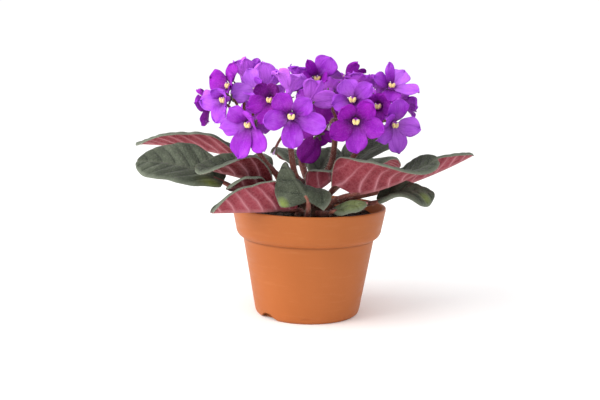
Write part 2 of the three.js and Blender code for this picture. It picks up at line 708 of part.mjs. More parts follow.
function pedicel(fork, heading, end, out, sag = 0) {
  const reach = fork.distanceTo(end);
  const straight = end.clone().sub(fork).normalize();
  const leave = fork.clone().addScaledVector(heading, reach * 0.12).addScaledVector(straight, reach * 0.2);
  const arrive = end.clone().addScaledVector(out, -reach * 0.35).addScaledVector(UP, -sag);
  return stem(new THREE.CubicBezierCurve3(fork, leave, arrive, end), STALK.pedicel, STALK.pedicel * 0.85, 5, 4);
}

function basisRound(out) {
  const side = new THREE.Vector3(0.31, 0.87, 0.37).cross(out).normalize();
  return [side, out.clone().cross(side), out];
}

// The cup that holds a flower: a star of five sepals, thick in the middle and sharp at the tips.
function calyx(end, out) {
  const [side, other] = basisRound(out);
  const star = Array.from({ length: 10 }, (_, k) => {
    const turn = (Math.PI * k) / 5;
    const reach = k % 2 ? STALK.valley : STALK.sepal;
    const point = end.clone().addScaledVector(side, reach * Math.cos(turn));
    point.addScaledVector(other, reach * Math.sin(turn));
    return point.addScaledVector(out, k % 2 ? -1.4 : 0.2);
  });
  const front = end.clone().addScaledVector(out, -0.1);
  const back = end.clone().addScaledVector(out, -3);
  const rows = [star.map(() => front), star, star.map(() => back)];
  return solid(skin(rows, true));
}

function bud(fork, heading, [place, face]) {
  const out = facing(face);
  const end = vec(place);
  const shape = new THREE.IcosahedronGeometry(1, 0).scale(1.7, 1.7, 2.9);
  const basis = new THREE.Matrix4().makeBasis(...basisRound(out));
  basis.setPosition(end.clone().addScaledVector(out, 1.8));
  return pedicel(fork, heading, end, out).add(solid(shape.applyMatrix4(basis)));
}

function spray(name, entry) {
  const root = new THREE.Vector3(...entry.from, crownTop(...entry.from) + GAP + 0.6);
  const fork = vec(entry.fork);
  const heading = fork.clone().sub(vec(entry.via)).normalize();
  const rise = root.clone().add(new THREE.Vector3(0, 0, 5));
  const route = new THREE.CatmullRomCurve3([root, rise, vec(entry.via), fork]);
  const stalk = stem(route, STALK.root, STALK.fork, 7, 6);
  const knuckle = new THREE.IcosahedronGeometry(STALK.fork * 1.3, 0).translate(...entry.fork);
  const flowers = Object.values(BLOOMS).filter((bloom) => bloom.spray === name);
  const pedicels = flowers.flatMap((bloom) => {
    const { centre, out } = bloomFrame(bloom);
    const end = centre.clone().addScaledVector(out, -BLOOM.tubeLength - GAP);
    return [pedicel(fork, heading, end.clone().addScaledVector(out, -0.8), out, bloom.sag), calyx(end, out)];
  });
  return fuse([stalk, solid(knuckle), ...pedicels, ...entry.buds.map((b) => bud(fork, heading, b))]);
}

// The plant in its pot

const violet = new THREE.Group();
violet.name = "potted_african_violet";

violet.add(node("pot", pot(), COLOURS.pot));
violet.add(node("soil", soil(), COLOURS.soil));
violet.add(node("crown", fuse([crownShape(0), ...YOUNG_LEAVES.map((entry) => leaf(entry, -5))]), COLOURS.crown));

const rosette = new THREE.Group();
for (const [name, entry] of Object.entries(LEAVES)) rosette.add(node(name, leaf(entry), COLOURS.leaf));
violet.add(rosette);

const flowers = new THREE.Group();
for (const [name, entry] of Object.entries(SPRAYS)) {
  flowers.add(node(`stalk_${name}`, spray(name, entry), COLOURS.stalk));
}
for (const [name, entry] of Object.entries(BLOOMS)) {
  flowers.add(node(`bloom_${name}`, corolla(entry), COLOURS.petal));
  if (OPEN_TO_VIEW.includes(name)) flowers.add(node(`anthers_${name}`, anthers(entry), COLOURS.anther));
}
violet.add(flowers);

export default violet;
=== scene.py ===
"""Potted african violet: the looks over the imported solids.

Lengths in the tables and in the shape code are millimetres, in the solids' own frame. Meshes are
written in metres. The front of the plant is -Y and up is +Z. Places are [x, y, z], and a facing
is (turn, rise) in degrees: turn 0 looks to the front and grows to the right.
"""
import math
from collections import namedtuple

import bmesh
import bpy
import numpy as np
from mathutils import Matrix, Vector


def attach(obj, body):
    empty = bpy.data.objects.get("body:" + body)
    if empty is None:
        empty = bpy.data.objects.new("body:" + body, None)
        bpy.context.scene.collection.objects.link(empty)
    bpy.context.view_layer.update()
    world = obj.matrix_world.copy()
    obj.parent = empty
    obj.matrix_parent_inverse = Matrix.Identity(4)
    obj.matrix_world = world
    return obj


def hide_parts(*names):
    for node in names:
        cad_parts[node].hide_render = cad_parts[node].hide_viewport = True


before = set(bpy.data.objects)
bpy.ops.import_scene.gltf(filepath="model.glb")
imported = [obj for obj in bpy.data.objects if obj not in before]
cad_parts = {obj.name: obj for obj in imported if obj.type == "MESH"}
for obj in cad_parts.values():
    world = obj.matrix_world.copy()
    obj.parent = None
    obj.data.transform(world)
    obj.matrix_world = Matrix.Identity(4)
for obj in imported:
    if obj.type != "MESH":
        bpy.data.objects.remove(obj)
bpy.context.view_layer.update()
MM = 0.001
RNG = np.random.default_rng(11)

# Sizes

CROWN = {"radius": 10, "base": 42, "shoulder": 74, "top": 83}
LEAF_THICKNESS = 1.0
LEAF_WAVE = 0.6
PETIOLE = (2.3, 1.5)
THROAT = 3
TUBE_LENGTH = 4.4
TUBE_BACK = 1.7
STALK = (2.3, 1.7)
PEDICEL = 0.95
GAP = 0.3
# Hairs for each millimetre of a stem, or on each margin of a leaf, and their length.
STALK_HAIRS = (7, 1.6)
PEDICEL_HAIRS = (2.6, 1.2)
PETIOLE_HAIRS = (3.5, 1.5)
MARGIN_HAIRS = (130, 1.2)

# The pot's inside from its lip down to the middle of its floor, as (radius, height).
POT_INSIDE = [
    (48.3, 59.5), (47.6, 57.6), (43.4, 53.7), (39, 28), (34.7, 4.2), (33.4, 2.4), (31.5, 2), (16, 2), (0, 2),
]
# The pot's outside where its collar starts, and the height of the painted shade line in the crease under the
# collar.
NECK = (44.9, 52.3)
PAINTED_SHADE_HEIGHT = 52.6
# Drainage notches: the turn of each, the radius where it starts and how far it runs.
NOTCHES = ((-47, 31, 10), (133, 31, 10), (1, 35.9, 6), (181, 35.9, 6))
NOTCH_HALF_WIDTH = 9
NOTCH_HEIGHT = 4.2
SOIL = {"bottom": 54.5, "level": 66, "edge": 49, "crumbs": 520}

# Each leaf: the turn and height where its petiole starts, a place on its way, the blade's base, tip
# and width, the fold of its left and its right half at root, middle and tip, and how far it arches
# up. widest is where it is widest (0 base, 1 tip), roll turns it about its length, and lobe is how
# far its right half reaches back past the base. All turns are in degrees.
Blade = namedtuple(
    "Blade", "start via base tip width left right arch widest roll lobe", defaults=(0.42, 0, 0))
LEAVES = {
    "left_back": Blade(
        (-115, 77), (-28, 5, 100), (-50, 12, 106), (-122, 21, 113), 44, (38, 34, 4), (22, 14, 0), 2),
    "left": Blade(
        (-75, 71), (-38, -13, 81), (-57, -21, 92), (-114, -20, 104), 41,
        (4, 0, -6), (34, 26, 10), 4, widest=0.56, roll=-20),
    "left_front": Blade(
        (-52, 75), (-20, -17, 86), (-26, -26, 91), (-73, -36, 103), 40, (60, 44, -24), (46, 44, 10), 1),
    "front_left": Blade(
        (-28, 70), (-5, -27, 74), (-8, -36, 77), (-60, -57, 77.4), 42, (66, 72, 50), (34, 30, 14), 0),
    "left_low": Blade(
        (-30, 78), (-11, -21, 87), (-28, -34.5, 90.5), (-52, -45, 91.5), 22, (62, 56, 40), (-6, -12, -10), 0),
    "front": Blade(
        (-6, 69), (-1, -37, 72), (-1, -54, 85.5), (-15.5, -48, 108.5), 35,
        (-10, -12, -30), (10, -98, -94), 2, widest=0.19, roll=-68, lobe=11),
    "front_low": Blade(
        (33, 70), (13, -33, 74), (15, -45, 77.5), (37, -42, 83), 11,
        (6, 2, 0), (4, 2, 0), 1, widest=0.45, roll=42),
    "right_front": Blade(
        (52, 73), (18, -24, 82), (27.5, -34.5, 87.5), (79, -46, 112), 56,
        (20, 14, 40), (78, 38, -26), -4, widest=0.14, lobe=12),
    "right_low": Blade(
        (73, 70), (32, -14, 77), (45, -26, 82), (82, -24, 87), 34,
        (16, 8, 0), (16, 6, -54), 4, widest=0.5, roll=10),
    "right": Blade(
        (92, 76), (32, -3, 81), (46, -4, 85), (110, 2, 111), 40, (14, 10, 6), (40, 42, 34), -2),
    "right_back": Blade(
        (128, 78), (22, 12, 92), (28, 16, 98), (60, 34, 118), 42, (14, 8, 0), (34, 20, 0), 4, roll=12),
    "back_right": Blade(
        (155, 73), (22, 36, 84), (32, 50, 91), (62, 90, 92), 46, (16, 8, -14), (16, 8, -14), 8),
    "back": Blade(
        (-170, 71), (-2, 30, 86), (-4, 44, 96), (-8, 104, 96), 48, (16, 8, -14), (16, 8, -14), 8),
    "back_left": Blade(
        (-145, 71), (-24, 34, 82), (-36, 50, 90), (-72, 86, 90), 46, (16, 8, -14), (16, 8, -14), 8),
}
YOUNG_LEAVES = [
    Blade((20, 77), (2.5, -16, 82), (2.5, -20, 87), (21, -25, 105), 30,
          (20, 24, 30), (76, 56, -30), -2, widest=0.32, lobe=3),
    Blade((175, 77), (3, 12, 86), (6, 15, 92), (16, 32, 112), 26, (24, 12, 0), (24, 12, 0), 0),
]
# Yellow-green patches: leaf, place along and across it (-1 to 1), radius in mm and strength.
PATCHES = [
    ("left", 0.1, -0.55, 6, 1),
    ("front", 0.2, -0.9, 6.5, 1),
    ("right_low", 0.8, 0.45, 6, 0.6),
    ("front_low", 0.6, -0.3, 14, 0.4),
    ("back", 0.2, 0.4, 6, 0.7),
]
# Leaves in a deeper green and wine red, and how much: partly their own colour and partly painted shade on
# leaves that lie under blooms or other leaves.
DEEP_AND_SHADED_LEAVES = {
    "left_back": 0.25, "left_front": 1, "left_low": 0.5, "front": 0.9,
    "right_front": 0.45, "right_low": 0.4, "right_back": 0.6, "back": 0.5,
}

# Each bloom: its spray, centre, facing, size and tone, then each petal's direction and lean in
# degrees with its length and half width as shares of the size, then the petals' own tones: -2 is
# nearly black, -1 deep purple and 1 pale lilac. The tones are partly each bloom's own colour, partly
# painted shade on blooms and petals in shadow and painted light on those turned from the light.
# sag is how far the pedicel hangs below a straight way. A bloom with no petals listed is regular:
# they lean forward by cup degrees, and roll turns it.
Bloom = namedtuple(
    "Bloom", "spray at face size tone petals tones sag cup roll", defaults=(None, None, 0, 0, 0))
BLOOMS = {
    "a": Bloom("left", (-68, -6, 141.5), (-95, -12), 16, -0.7, cup=30, roll=30),
    "b": Bloom("left", (-56, -27, 145.5), (-36, -8), 19, 0.35, (
        (122, 56, 0.6, 0.26), (50, 60, 0.62, 0.3), (-20, 62, 0.7, 0.3),
        (-114, 16, 0.86, 0.33), (-178, 12, 1, 0.36),
    ), (-0.1, 0, 0, 0.25, 0.2)),
    "c": Bloom("left", (-54.5, -8, 154), (-48, 8), 18, -0.05, (
        (82, 8, 0.85, 0.33), (28, 46, 0.9, 0.28), (-40, 50, 0.8, 0.3),
        (-112, 34, 0.7, 0.3), (-196, 18, 1.05, 0.4),
    ), (-0.8, -0.8, -0.6, -0.3, -0.9)),
    "d": Bloom("left", (-35.8, -16, 152), (-20, 20), 20, 0.2, (
        (120, 12, 0.8, 0.3), (50, 60, 0.5, 0.28), (-10, 76, 0.6, 0.3),
        (-85, 78, 0.6, 0.33), (-164, 14, 0.88, 0.36),
    ), (0.6, 0, -0.3, 0, 0.7)),
    "h": Bloom("left", (-38.5, -47, 131), (-28, -9), 20.5, 0.2, (
        (128, 36, 0.8, 0.31), (38, 60, 0.76, 0.33), (-50, 18, 1, 0.32),
        (-108, 21, 1.12, 0.34), (-175, 20, 0.95, 0.28),
    ), (-0.35, -0.6, -0.4, -0.2, 0.05)),
    "x": Bloom("left", (-41.7, 4, 160.3), (165, 36), 18, 0.6, (
        (122, 50, 0.8, 0.22), (86, 14, 0.8, 0.3), (46, 14, 0.85, 0.33),
        (-40, 40, 0.8, 0.33), (-120, 40, 0.8, 0.33),
    ), (0.1, 0.55, 0.6, 0.2, 0.2)),
    "e": Bloom("front", (-29, -4, 153.3), (176, 14), 20, 0.35, (
        (118, 14, 0.7, 0.24), (78, 8, 0.9, 0.36), (0, 30, 0.5, 0.3),
        (-80, 20, 0.8, 0.33), (-150, 20, 0.6, 0.3),
    ), (1.3, 1.5, 0.8, 1.3, 1.1)),
    "f": Bloom("front", (-25.5, -34, 146), (-38, 0), 17, -1.2, tones=(-1.9, -1.9, -1.4, -1, -1.05), cup=34),
    "g": Bloom("front", (-12, -57.5, 137), (2, -4), 21, 0.15, (
        (123, 8, 0.78, 0.3), (43, 8, 0.76, 0.29), (-15, 4, 1.05, 0.31),
        (-86, 8, 0.93, 0.31), (-168, 10, 0.83, 0.29),
    ), (-0.55, 0, 0.15, 0.1, 0)),
    "i": Bloom("front", (-14.3, -20, 152.5), (150, 62), 20, 0.95, cup=46, roll=20),
    "k": Bloom("front", (-1.4, -24, 145.1), (176, 20), 19, 0.25, (
        (172, 8, 0.95, 0.33), (120, 16, 0.82, 0.22), (94, 8, 0.85, 0.24),
        (20, 40, 0.55, 0.3), (-70, 30, 0.6, 0.33),
    ), (0.7, 0.45, 0.4, 0, 0.5)),
    "l": Bloom("centre", (3.6, -3, 160), (-8, 14), 18, -0.1, (
        (120, 60, 0.95, 0.18), (58, 14, 0.95, 0.44), (-18, 60, 0.6, 0.3),
        (-90, 72, 0.6, 0.33), (-162, 56, 0.66, 0.33),
    ), (-0.9, -0.15, -1, -1.2, -1)),
    "o": Bloom("centre", (26, -35, 147), (-4, 8), 17, -0.25, (
        (112, 16, 0.82, 0.4), (40, 18, 0.95, 0.32), (-30, 20, 0.95, 0.32),
        (-97, 20, 0.85, 0.32), (-166, 18, 0.8, 0.32),
    ), (0.35, 0.05, 0, -0.1, 0.1)),
    "p": Bloom("centre", (27.5, -51, 134.5), (2, -10), 20, -0.6, (
        (137, 22, 0.66, 0.31), (50, 14, 0.76, 0.31), (-18, 12, 0.95, 0.33),
        (-86, 8, 1, 0.33), (-150, 12, 0.92, 0.33),
    ), (-1.15, -0.9, -0.65, -0.6, -1.3), sag=10),
    "n": Bloom("centre", (30.7, -14, 157.2), (160, 50), 13, 0, cup=44, roll=20),
    "q": Bloom("right", (43.5, -24, 143), (-24, 4), 14, -1.1, cup=45, roll=10),
    "r": Bloom("right", (52.6, -12, 155.5), (0, 40), 17, -0.1, (
        (155, 30, 0.86, 0.3), (104, 60, 1, 0.18), (52, 20, 0.9, 0.4),
        (-24, 22, 1.15, 0.26), (-94, 12, 0.8, 0.36),
    ), (0, -0.2, 0.75, 0.5, -0.4)),
    "s": Bloom("right", (53, -32, 132), (22, -14), 19, -0.1, (
        (150, 46, 0.75, 0.28), (92, 14, 0.95, 0.35), (-4, 18, 0.92, 0.34),
        (-74, 12, 1.02, 0.36), (-140, 18, 0.82, 0.32),
    ), (-0.15, -0.15, 0.4, 0.6, 0.2)),
    "t": Bloom("right", (62, -1, 146.5), (104, 14), 15, -0.1, cup=24),
    "u": Bloom("right", (46.5, 10, 153.5), (150, 60), 15, 0, cup=48),
    "j": Bloom("back", (-8, 8, 160), (160, 64), 15, 0, cup=50),
    "m": Bloom("back", (23.1, 3, 160.9), (160, 62), 17, 0, (
        (140, 55, 0.9, 0.25), (16, 12, 0.9, 0.42), (-40, 40, 0.9, 0.3),
        (-85, 50, 1, 0.36), (-145, 50, 1, 0.3),
    ), (-0.6, 0.5, 0, -1.1, -1.1)),
    "v": Bloom("centre", (5.4, 1, 122.4), (176, -6), 22, -0.6, (
        (102, 4, 1.05, 0.44), (20, 20, 0.8, 0.3), (-60, 8, 1, 0.36),
        (-130, 50, 0.45, 0.3), (-190, 14, 0.6, 0.3),
    ), (-1.2, -0.8, -1.5, -1, -0.8)),
    "w": Bloom("back", (-38, 32, 131), (-140, -4), 20, 0.1, cup=24),
    "y": Bloom("back", (42, 34, 141), (128, 0), 20, -0.2, cup=26),
    "z": Bloom("back", (14, 40, 152), (165, 30), 20, 0.1, cup=34),
}
PETAL_ANGLES = (126, 54, -18, -90, -162)

# Each flower stalk: its foot on the crown, a place on its way, its fork, and its bud's place and facing.
SPRAYS = {
    "left": ((-5, -2), (-24, -13, 98), (-42, -18, 124), (-53.5, -33, 132), (-60, -20)),
    "front": ((-1.5, -5.5), (-9.5, -25, 98), (-14, -31, 127), (-22, -42, 116), (-40, -60)),
    "centre": ((3.5, -2), (13.5, -7, 102), (17, -16, 132), (12, -38, 131), (-10, -40)),
    "right": ((5, 3), (24, -4, 102), (41, -6, 128), (60, -14, 122), (60, -50)),
    "back": ((-1, 5.5), (-6, 15, 102), (-8, 20, 134), (-14, 36, 124), (-170, -30)),
}

# Small maths

UP = np.array([0.0, 0.0, 1.0])
# A direction that no stem or flower follows.
SKEW = (0.31, 0.87, 0.37)


def unit(v):
    return v / np.maximum(np.linalg.norm(v, axis=-1, keepdims=True), 1e-12)


def square_to(out):
    """Two directions square to a way out and to each other."""
    side = unit(np.cross(SKEW, out))
    return side, np.cross(out, side)


def facing(turn, rise):
    a, e = math.radians(turn), math.radians(rise)
    return np.array([math.sin(a) * math.cos(e), -math.cos(a) * math.cos(e), math.sin(e)])


def chance(i, j):
    """A number from 0 to 1 that seems random but is always the same."""
    x = math.sin(i * 127.1 + j * 311.7) * 43758.5453
    return x - math.floor(x)


def smoothstep(low, high, x):
    t = np.clip((x - low) / (high - low), 0, 1)
    return t * t * (3 - 2 * t)


def three_way(root, middle, end, u):
    """A curve with these values at u 0, 0.5 and 1."""
    return root * (1 - u) * (1 - 2 * u) + middle * 4 * u * (1 - u) + end * u * (2 * u - 1)


def even(points, count):
    """The same curve in count points at even steps along it."""
    steps = np.linalg.norm(np.diff(points, axis=0), axis=1)
    run = np.concatenate([[0], np.cumsum(steps)])
    at = np.linspace(0, run[-1], count)
    return np.stack([np.interp(at, run, points[:, k]) for k in range(3)], axis=1)


def through(points, count):
    """A centripetal curve through the points, in count even steps."""
    p = [np.asarray(q, float) for q in points]
    p = [2 * p[0] - p[1], *p, 2 * p[-1] - p[-2]]
    rows = []
    for p0, p1, p2, p3 in zip(p, p[1:], p[2:], p[3:]):
        d0, d1, d2 = (np.linalg.norm(b - a) ** 0.5 for a, b in ((p0, p1), (p1, p2), (p2, p3)))
        t1 = ((p1 - p0) / d0 - (p2 - p0) / (d0 + d1) + (p2 - p1) / d1) * d1
        t2 = ((p2 - p1) / d1 - (p3 - p1) / (d1 + d2) + (p3 - p2) / d2) * d1
        t = np.linspace(0, 1, 24)[:, None]
        square, cube = -3 * p1 + 3 * p2 - 2 * t1 - t2, 2 * p1 - 2 * p2 + t1 + t2
        rows.append(p1 + t1 * t + square * t**2 + cube * t**3)
    return even(np.concatenate(rows), count)


def bezier(a, b, c, d, count):
    t = np.linspace(0, 1, 40)[:, None]
    return even(a * (1 - t) ** 3 + 3 * b * t * (1 - t) ** 2 + 3 * c * t**2 * (1 - t) + d * t**3, count)


# Mesh building


def placed(name, data):
    """A new object that holds the data, in the scene."""
    thing = bpy.data.objects.new(name, data)
    bpy.context.collection.objects.link(thing)
    return thing


class Shape:
    """Closed shells that make one piece, with what its materials read at each point.

    spot is (along, across, side) on a blade, where side is 1 on the upper face and 0 below, and
    tone is a colour shift of its own, which on some blooms and leaves is also painted shade or
    painted light. rim grows from 0 in the middle of a blade to 1 at its edge.
    """

    def __init__(self):
        self.count = 0
        self.points, self.faces, self.slots, self.spots, self.tones, self.rims = [], [], [], [], [], []

    def add(self, points, faces, slot=0, spot=(0, 0, 1), tone=0.0, rim=0.0):
        points = np.asarray(points, float).reshape(-1, 3)
        n = len(points)
        self.points.append(points)
        self.spots.append(np.broadcast_to(np.asarray(spot, float), (n, 3)))
        self.tones.append(np.broadcast_to(np.asarray(tone, float), (n,)))
        self.rims.append(np.broadcast_to(np.asarray(rim, float), (n,)))
        self.faces += [tuple(int(k) + self.count for k in face) for face in faces]
        self.slots += [slot] * len(faces)
        self.count += n

    def mesh(self, name):
        made = bpy.data.meshes.new(name)
        made.from_pydata((np.concatenate(self.points) * MM).tolist(), [], self.faces)
        return made

    def piece(self, name, materials, replaced):
        mesh = self.mesh(name)
        mesh.polygons.foreach_set("use_smooth", [True] * len(mesh.polygons))
        for material in materials:
            mesh.materials.append(material)
        mesh.polygons.foreach_set("material_index", self.slots)
        spot = mesh.attributes.new("spot", "FLOAT_VECTOR", "POINT")
        spot.data.foreach_set("vector", np.concatenate(self.spots).ravel())
        for key, values in (("tone", self.tones), ("rim", self.rims)):
            mesh.attributes.new(key, "FLOAT", "POINT").data.foreach_set("value", np.concatenate(values))
        mesh.validate()
        thing = placed(name, mesh)
        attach(thing, "root")
        if replaced:
            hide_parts(replaced)
        return thing


def grid_faces(rows, columns, start, flip=False):
    faces = []
    for i in range(rows - 1):
        for j in range(columns - 1):
            a = start + i * columns + j
            quad = (a, a + 1, a + columns + 1, a + columns)
            faces.append(quad[::-1] if flip else quad)
    return faces


def normals(grid):
    """Normals of a grid of points, towards its upper face."""
    return unit(np.cross(np.gradient(grid, axis=1), np.gradient(grid, axis=0)))


def sheet(shape, grid, upper, lower, spot, slot, tone=0.0, rim=0.0):
    """A closed blade: the grid pushed out by upper on one face and by lower on the other."""
    rows, columns = grid.shape[:2]
    n = rows * columns
    out = normals(grid)
    points = np.concatenate([grid + out * upper[..., None], grid - out * lower[..., None]])
    loop = list(range(columns))
    loop += [i * columns + columns - 1 for i in range(1, rows)]
    loop += [(rows - 1) * columns + j for j in range(columns - 2, -1, -1)]
    loop += [i * columns for i in range(rows - 2, 0, -1)]
    faces = grid_faces(rows, columns, 0) + grid_faces(rows, columns, n, flip=True)
    faces += [(b, a, a + n, b + n) for a, b in zip(loop, loop[1:] + loop[:1])]
    spots = [np.concatenate([spot, np.full((rows, columns, 1), side)], axis=2) for side in (1.0, 0.0)]
    both = [np.tile(np.broadcast_to(value, (rows, columns)).ravel(), 2) for value in (tone, rim)]
    shape.add(points, faces, slot, np.reshape(spots, (-1, 3)), *both)


def frames_along(line):
    """Two directions square to a curve at each of its points, carried along without twist."""
    way = unit(np.gradient(line, axis=0))
    side = unit(np.cross(way[0], SKEW))
    sides = []
    for tangent in way:
        side = unit(side - tangent * np.dot(side, tangent))
        sides.append(side)
    sides = np.array(sides)
    return sides, np.cross(way, sides)


def stacked(shape, rings, low, high, slot=0, spot=(0, 0, 1), tone=0.0):
    """A closed skin over rings of points, which closes on a low and a high middle point."""
    rings = np.asarray(rings, float)
    count, sides = rings.shape[:2]
    last = (count - 1) * sides
    faces = []
    for j in range(sides):
        k = (j + 1) % sides
        for near in range(2, 2 + last, sides):
            faces.append((near + j, near + k, near + sides + k, near + sides + j))
        faces += [(0, 2 + k, 2 + j), (1, 2 + last + j, 2 + last + k)]
    shape.add(np.concatenate([[low, high], rings.reshape(-1, 3)]), faces, slot, spot, tone)


def tube(shape, line, radii, sides, slot, spot=(0, 0, 1), tone=0.0):
    """A closed round stem along a curve."""
    a, b = frames_along(line)
    turn = np.linspace(0, math.tau, sides, endpoint=False)
    rings = line[:, None] + np.asarray(radii)[:, None, None] * (
        a[:, None] * np.cos(turn)[None, :, None] + b[:, None] * np.sin(turn)[None, :, None]
    )
    stacked(shape, rings, line[0], line[-1], slot, spot, tone)
    return rings


def round_ball():
    """The points and faces of a ball of radius 1."""
    made = bmesh.new()
    bmesh.ops.create_icosphere(made, subdivisions=2, radius=1)
    made.verts.index_update()
    points = np.array([v.co for v in made.verts])
    faces = [tuple(v.index for v in face.verts) for face in made.faces]
    made.free()
    return points, faces


BALL = round_ball()


def ball(shape, middle, axes, slot, spot=(0, 0, 1), rough=0.0, seed=0):
    """A smooth lump: a ball stretched to the three axes given, and roughened at will."""
    points, faces = BALL
    if rough:
        local = np.random.default_rng(seed)
        points = points * (1 + rough * local.standard_normal((len(points), 1)))
    shape.add(np.asarray(middle) + points @ np.asarray(axes), faces, slot, spot)


def hairs(shape, roots, ways, length, slot, width=0.06):
    """Short hairs, each a closed spike of four faces."""
    n = len(roots)
    ways = unit(unit(ways) + 0.35 * RNG.standard_normal((n, 3)))
    reach = length * RNG.uniform(0.55, 1.1, (n, 1))
    side = unit(np.cross(ways, RNG.standard_normal((n, 3))))
    other = np.cross(ways, side)
    foot = roots - ways * 0.15
    corners = [foot + width * (side * math.cos(t) + other * math.sin(t)) for t in (0, 2.09, 4.19)]
    points = np.stack([*corners, roots + ways * reach], axis=1).reshape(-1, 3)
    faces = []
    for k in range(0, 4 * n, 4):
        faces += [(k, k + 2, k + 1), (k, k + 1, k + 3), (k + 1, k + 2, k + 3), (k + 2, k, k + 3)]
    shape.add(points, faces, slot)


def hairy_tube(shape, rings, line, per_mm, length, slot):
    """Hairs at chance places on a tube's skin."""
    run = np.linalg.norm(np.diff(line, axis=0), axis=1).sum()
    n = int(run * per_mm)
    i = RNG.integers(1, len(rings) - 1, n)
    j = RNG.integers(0, rings.shape[1], n)
    t = RNG.uniform(0, 1, (n, 1))
    roots = rings[i, j] * (1 - t) + rings[i + 1, j] * t
    hairs(shape, roots, roots - line[i] * (1 - t) - line[i + 1] * t, length, slot)


# Materials

# What a look can set on its shader besides the colour, in this order.
SURFACE = ("Roughness", "Specular IOR Level", "Sheen Weight", "Sheen Roughness", "Sheen Tint")


class Look:
    """A procedural material. Most of its methods add a node and give back its output."""

    def __init__(self, name, *surface):
        self.material = bpy.data.materials.new(name)
        self.material.use_nodes = True
        self.tree = self.material.node_tree
        self.shader = self.tree.nodes["Principled BSDF"]
        for key, value in zip(SURFACE, surface):
            self.put(self.shader.inputs[key], value)

    def put(self, socket, value):
        if isinstance(value, bpy.types.NodeSocket):
            self.tree.links.new(value, socket)
        else:
            opaque = isinstance(value, tuple) and len(value) < len(socket.default_value)
            socket.default_value = (*value, 1) if opaque else value

    def node(self, kind, inputs=(), **settings):
        made = self.tree.nodes.new("ShaderNode" + kind)
        for key, value in settings.items():
            setattr(made, key, value)
        for key, value in dict(inputs).items():
            self.put(made.inputs[key], value)
        return made

    def attribute(self, name, output="Fac"):
        return self.node("Attribute", attribute_name=name).outputs[output]

    def spot(self):
        return self.node("SeparateXYZ", {0: self.attribute("spot", "Vector")}).outputs

    def math(self, operation, a, b=0, c=0, clamp=False):
        return self.node("Math", {0: a, 1: b, 2: c}, operation=operation, use_clamp=clamp).outputs[0]

    def times(self, a, b, clamp=False):
        return self.math("MULTIPLY", a, b, clamp=clamp)

    def mix(self, share, a, b, blend="MIX"):
        made = self.node("Mix", {0: share, 6: a, 7: b}, data_type="RGBA", blend_type=blend)
        return made.outputs[2]

    def tinted(self, share, colour, tint):
        """The colour, and by the share given the colour multiplied by the tint."""
        return self.mix(share, colour, self.mix(1, colour, tint, "MULTIPLY"))

    def ramp(self, share, *stops):
        made = self.node("ValToRGB", {0: share})
        elements = made.color_ramp.elements
        while len(elements) < len(stops):
            elements.new(0.5)
        for element, (place, colour) in zip(elements, stops):
            element.position = place
            element.color = (*colour, 1) if isinstance(colour, tuple) else (colour, colour, colour, 1)
        return made.outputs[0]

    def places(self, scale=(1, 1, 1)):
        coordinates = self.node("TexCoord").outputs["Object"]
        return self.node("Mapping", {0: coordinates, 3: scale}).outputs[0]

    def noise(self, scale, detail=3, vector=None, roughness=0.55):
        inputs = {"Scale": scale, "Detail": detail, "Roughness": roughness}
        inputs["Vector"] = self.places() if vector is None else vector
        return self.node("TexNoise", inputs).outputs[0]

    def cells(self, scale):
        inputs = {"Scale": scale, "Vector": self.places()}
        return self.node("TexVoronoi", inputs, feature="DISTANCE_TO_EDGE").outputs["Distance"]

    def bump(self, height, strength, distance):
        made = self.node("Bump", {"Strength": strength, "Distance": distance, "Height": height})
        self.tree.links.new(made.outputs[0], self.shader.inputs["Normal"])

    def colour(self, value):
        self.put(self.shader.inputs["Base Color"], value)
        return self.material


def petal_look():
    look = Look("petal", 0.6, 0.09, 0.05, 0.4, (0.8, 0.3, 1))
    along, across, side = look.spot()
    tone = look.attribute("tone")
    throat_stops = ((0, (0.05, 0.002, 0.07)), (0.16, (0.15, 0.007, 0.25)))
    open_face = look.ramp(along, *throat_stops, (0.45, (0.3, 0.026, 0.52)), (1, (0.39, 0.055, 0.68)))
    back = look.ramp(along, (0, (0.29, 0.04, 0.38)), (0.4, (0.39, 0.05, 0.59)), (1, (0.46, 0.07, 0.71)))
    colour = look.mix(side, back, open_face)
    # Negative tones tint toward deep purple: partly the petal's own colour, partly painted shade. Below -1
    # they darken further, which is painted shade. Positive tones pale toward lilac: partly the petal's own
    # colour, partly painted light on petals turned from the light.
    deep_and_shade = look.times(tone, -1, clamp=True)
    pale = look.times(tone, 1, clamp=True)
    painted_shade = look.math("MULTIPLY_ADD", tone, -1, -1, clamp=True)
    lilac = look.mix(side, (0.7, 0.18, 1), (0.62, 0.2, 0.94))
    colour = look.mix(look.times(pale, 0.85), colour, lilac)
    fan = look.node("CombineXYZ", {0: look.times(across, 9), 1: look.times(along, 1.6), 2: tone})
    streaks = look.noise(1.6, 4, fan.outputs[0])
    colour = look.tinted(look.ramp(streaks, (0.32, 0.6), (0.6, 0)), colour, (0.66, 0.45, 0.76))
    blush = look.noise(140, 2)
    colour = look.mix(look.ramp(blush, (0.42, 0), (0.7, 0.25)), colour, (0.62, 0.2, 0.92))
    colour = look.tinted(deep_and_shade, colour, (0.84, 0.14, 0.7))
    colour = look.tinted(painted_shade, colour, (0.38, 0.3, 0.32))
    # Fine paler specks: a painted glint, the sparkle of light on the petal's surface.
    grain = look.noise(1500, 2)
    colour = look.mix(look.ramp(grain, (0.5, 0), (0.75, 0.15)), colour, (0.55, 0.2, 0.85))
    look.bump(look.math("ADD", streaks, look.times(grain, 0.35)), 0.7, 0.0007)
    return look.colour(colour)


VEIN_SPACING = 9.2
VEIN_SLANT = 0.6
VEIN_BEND = 0.016


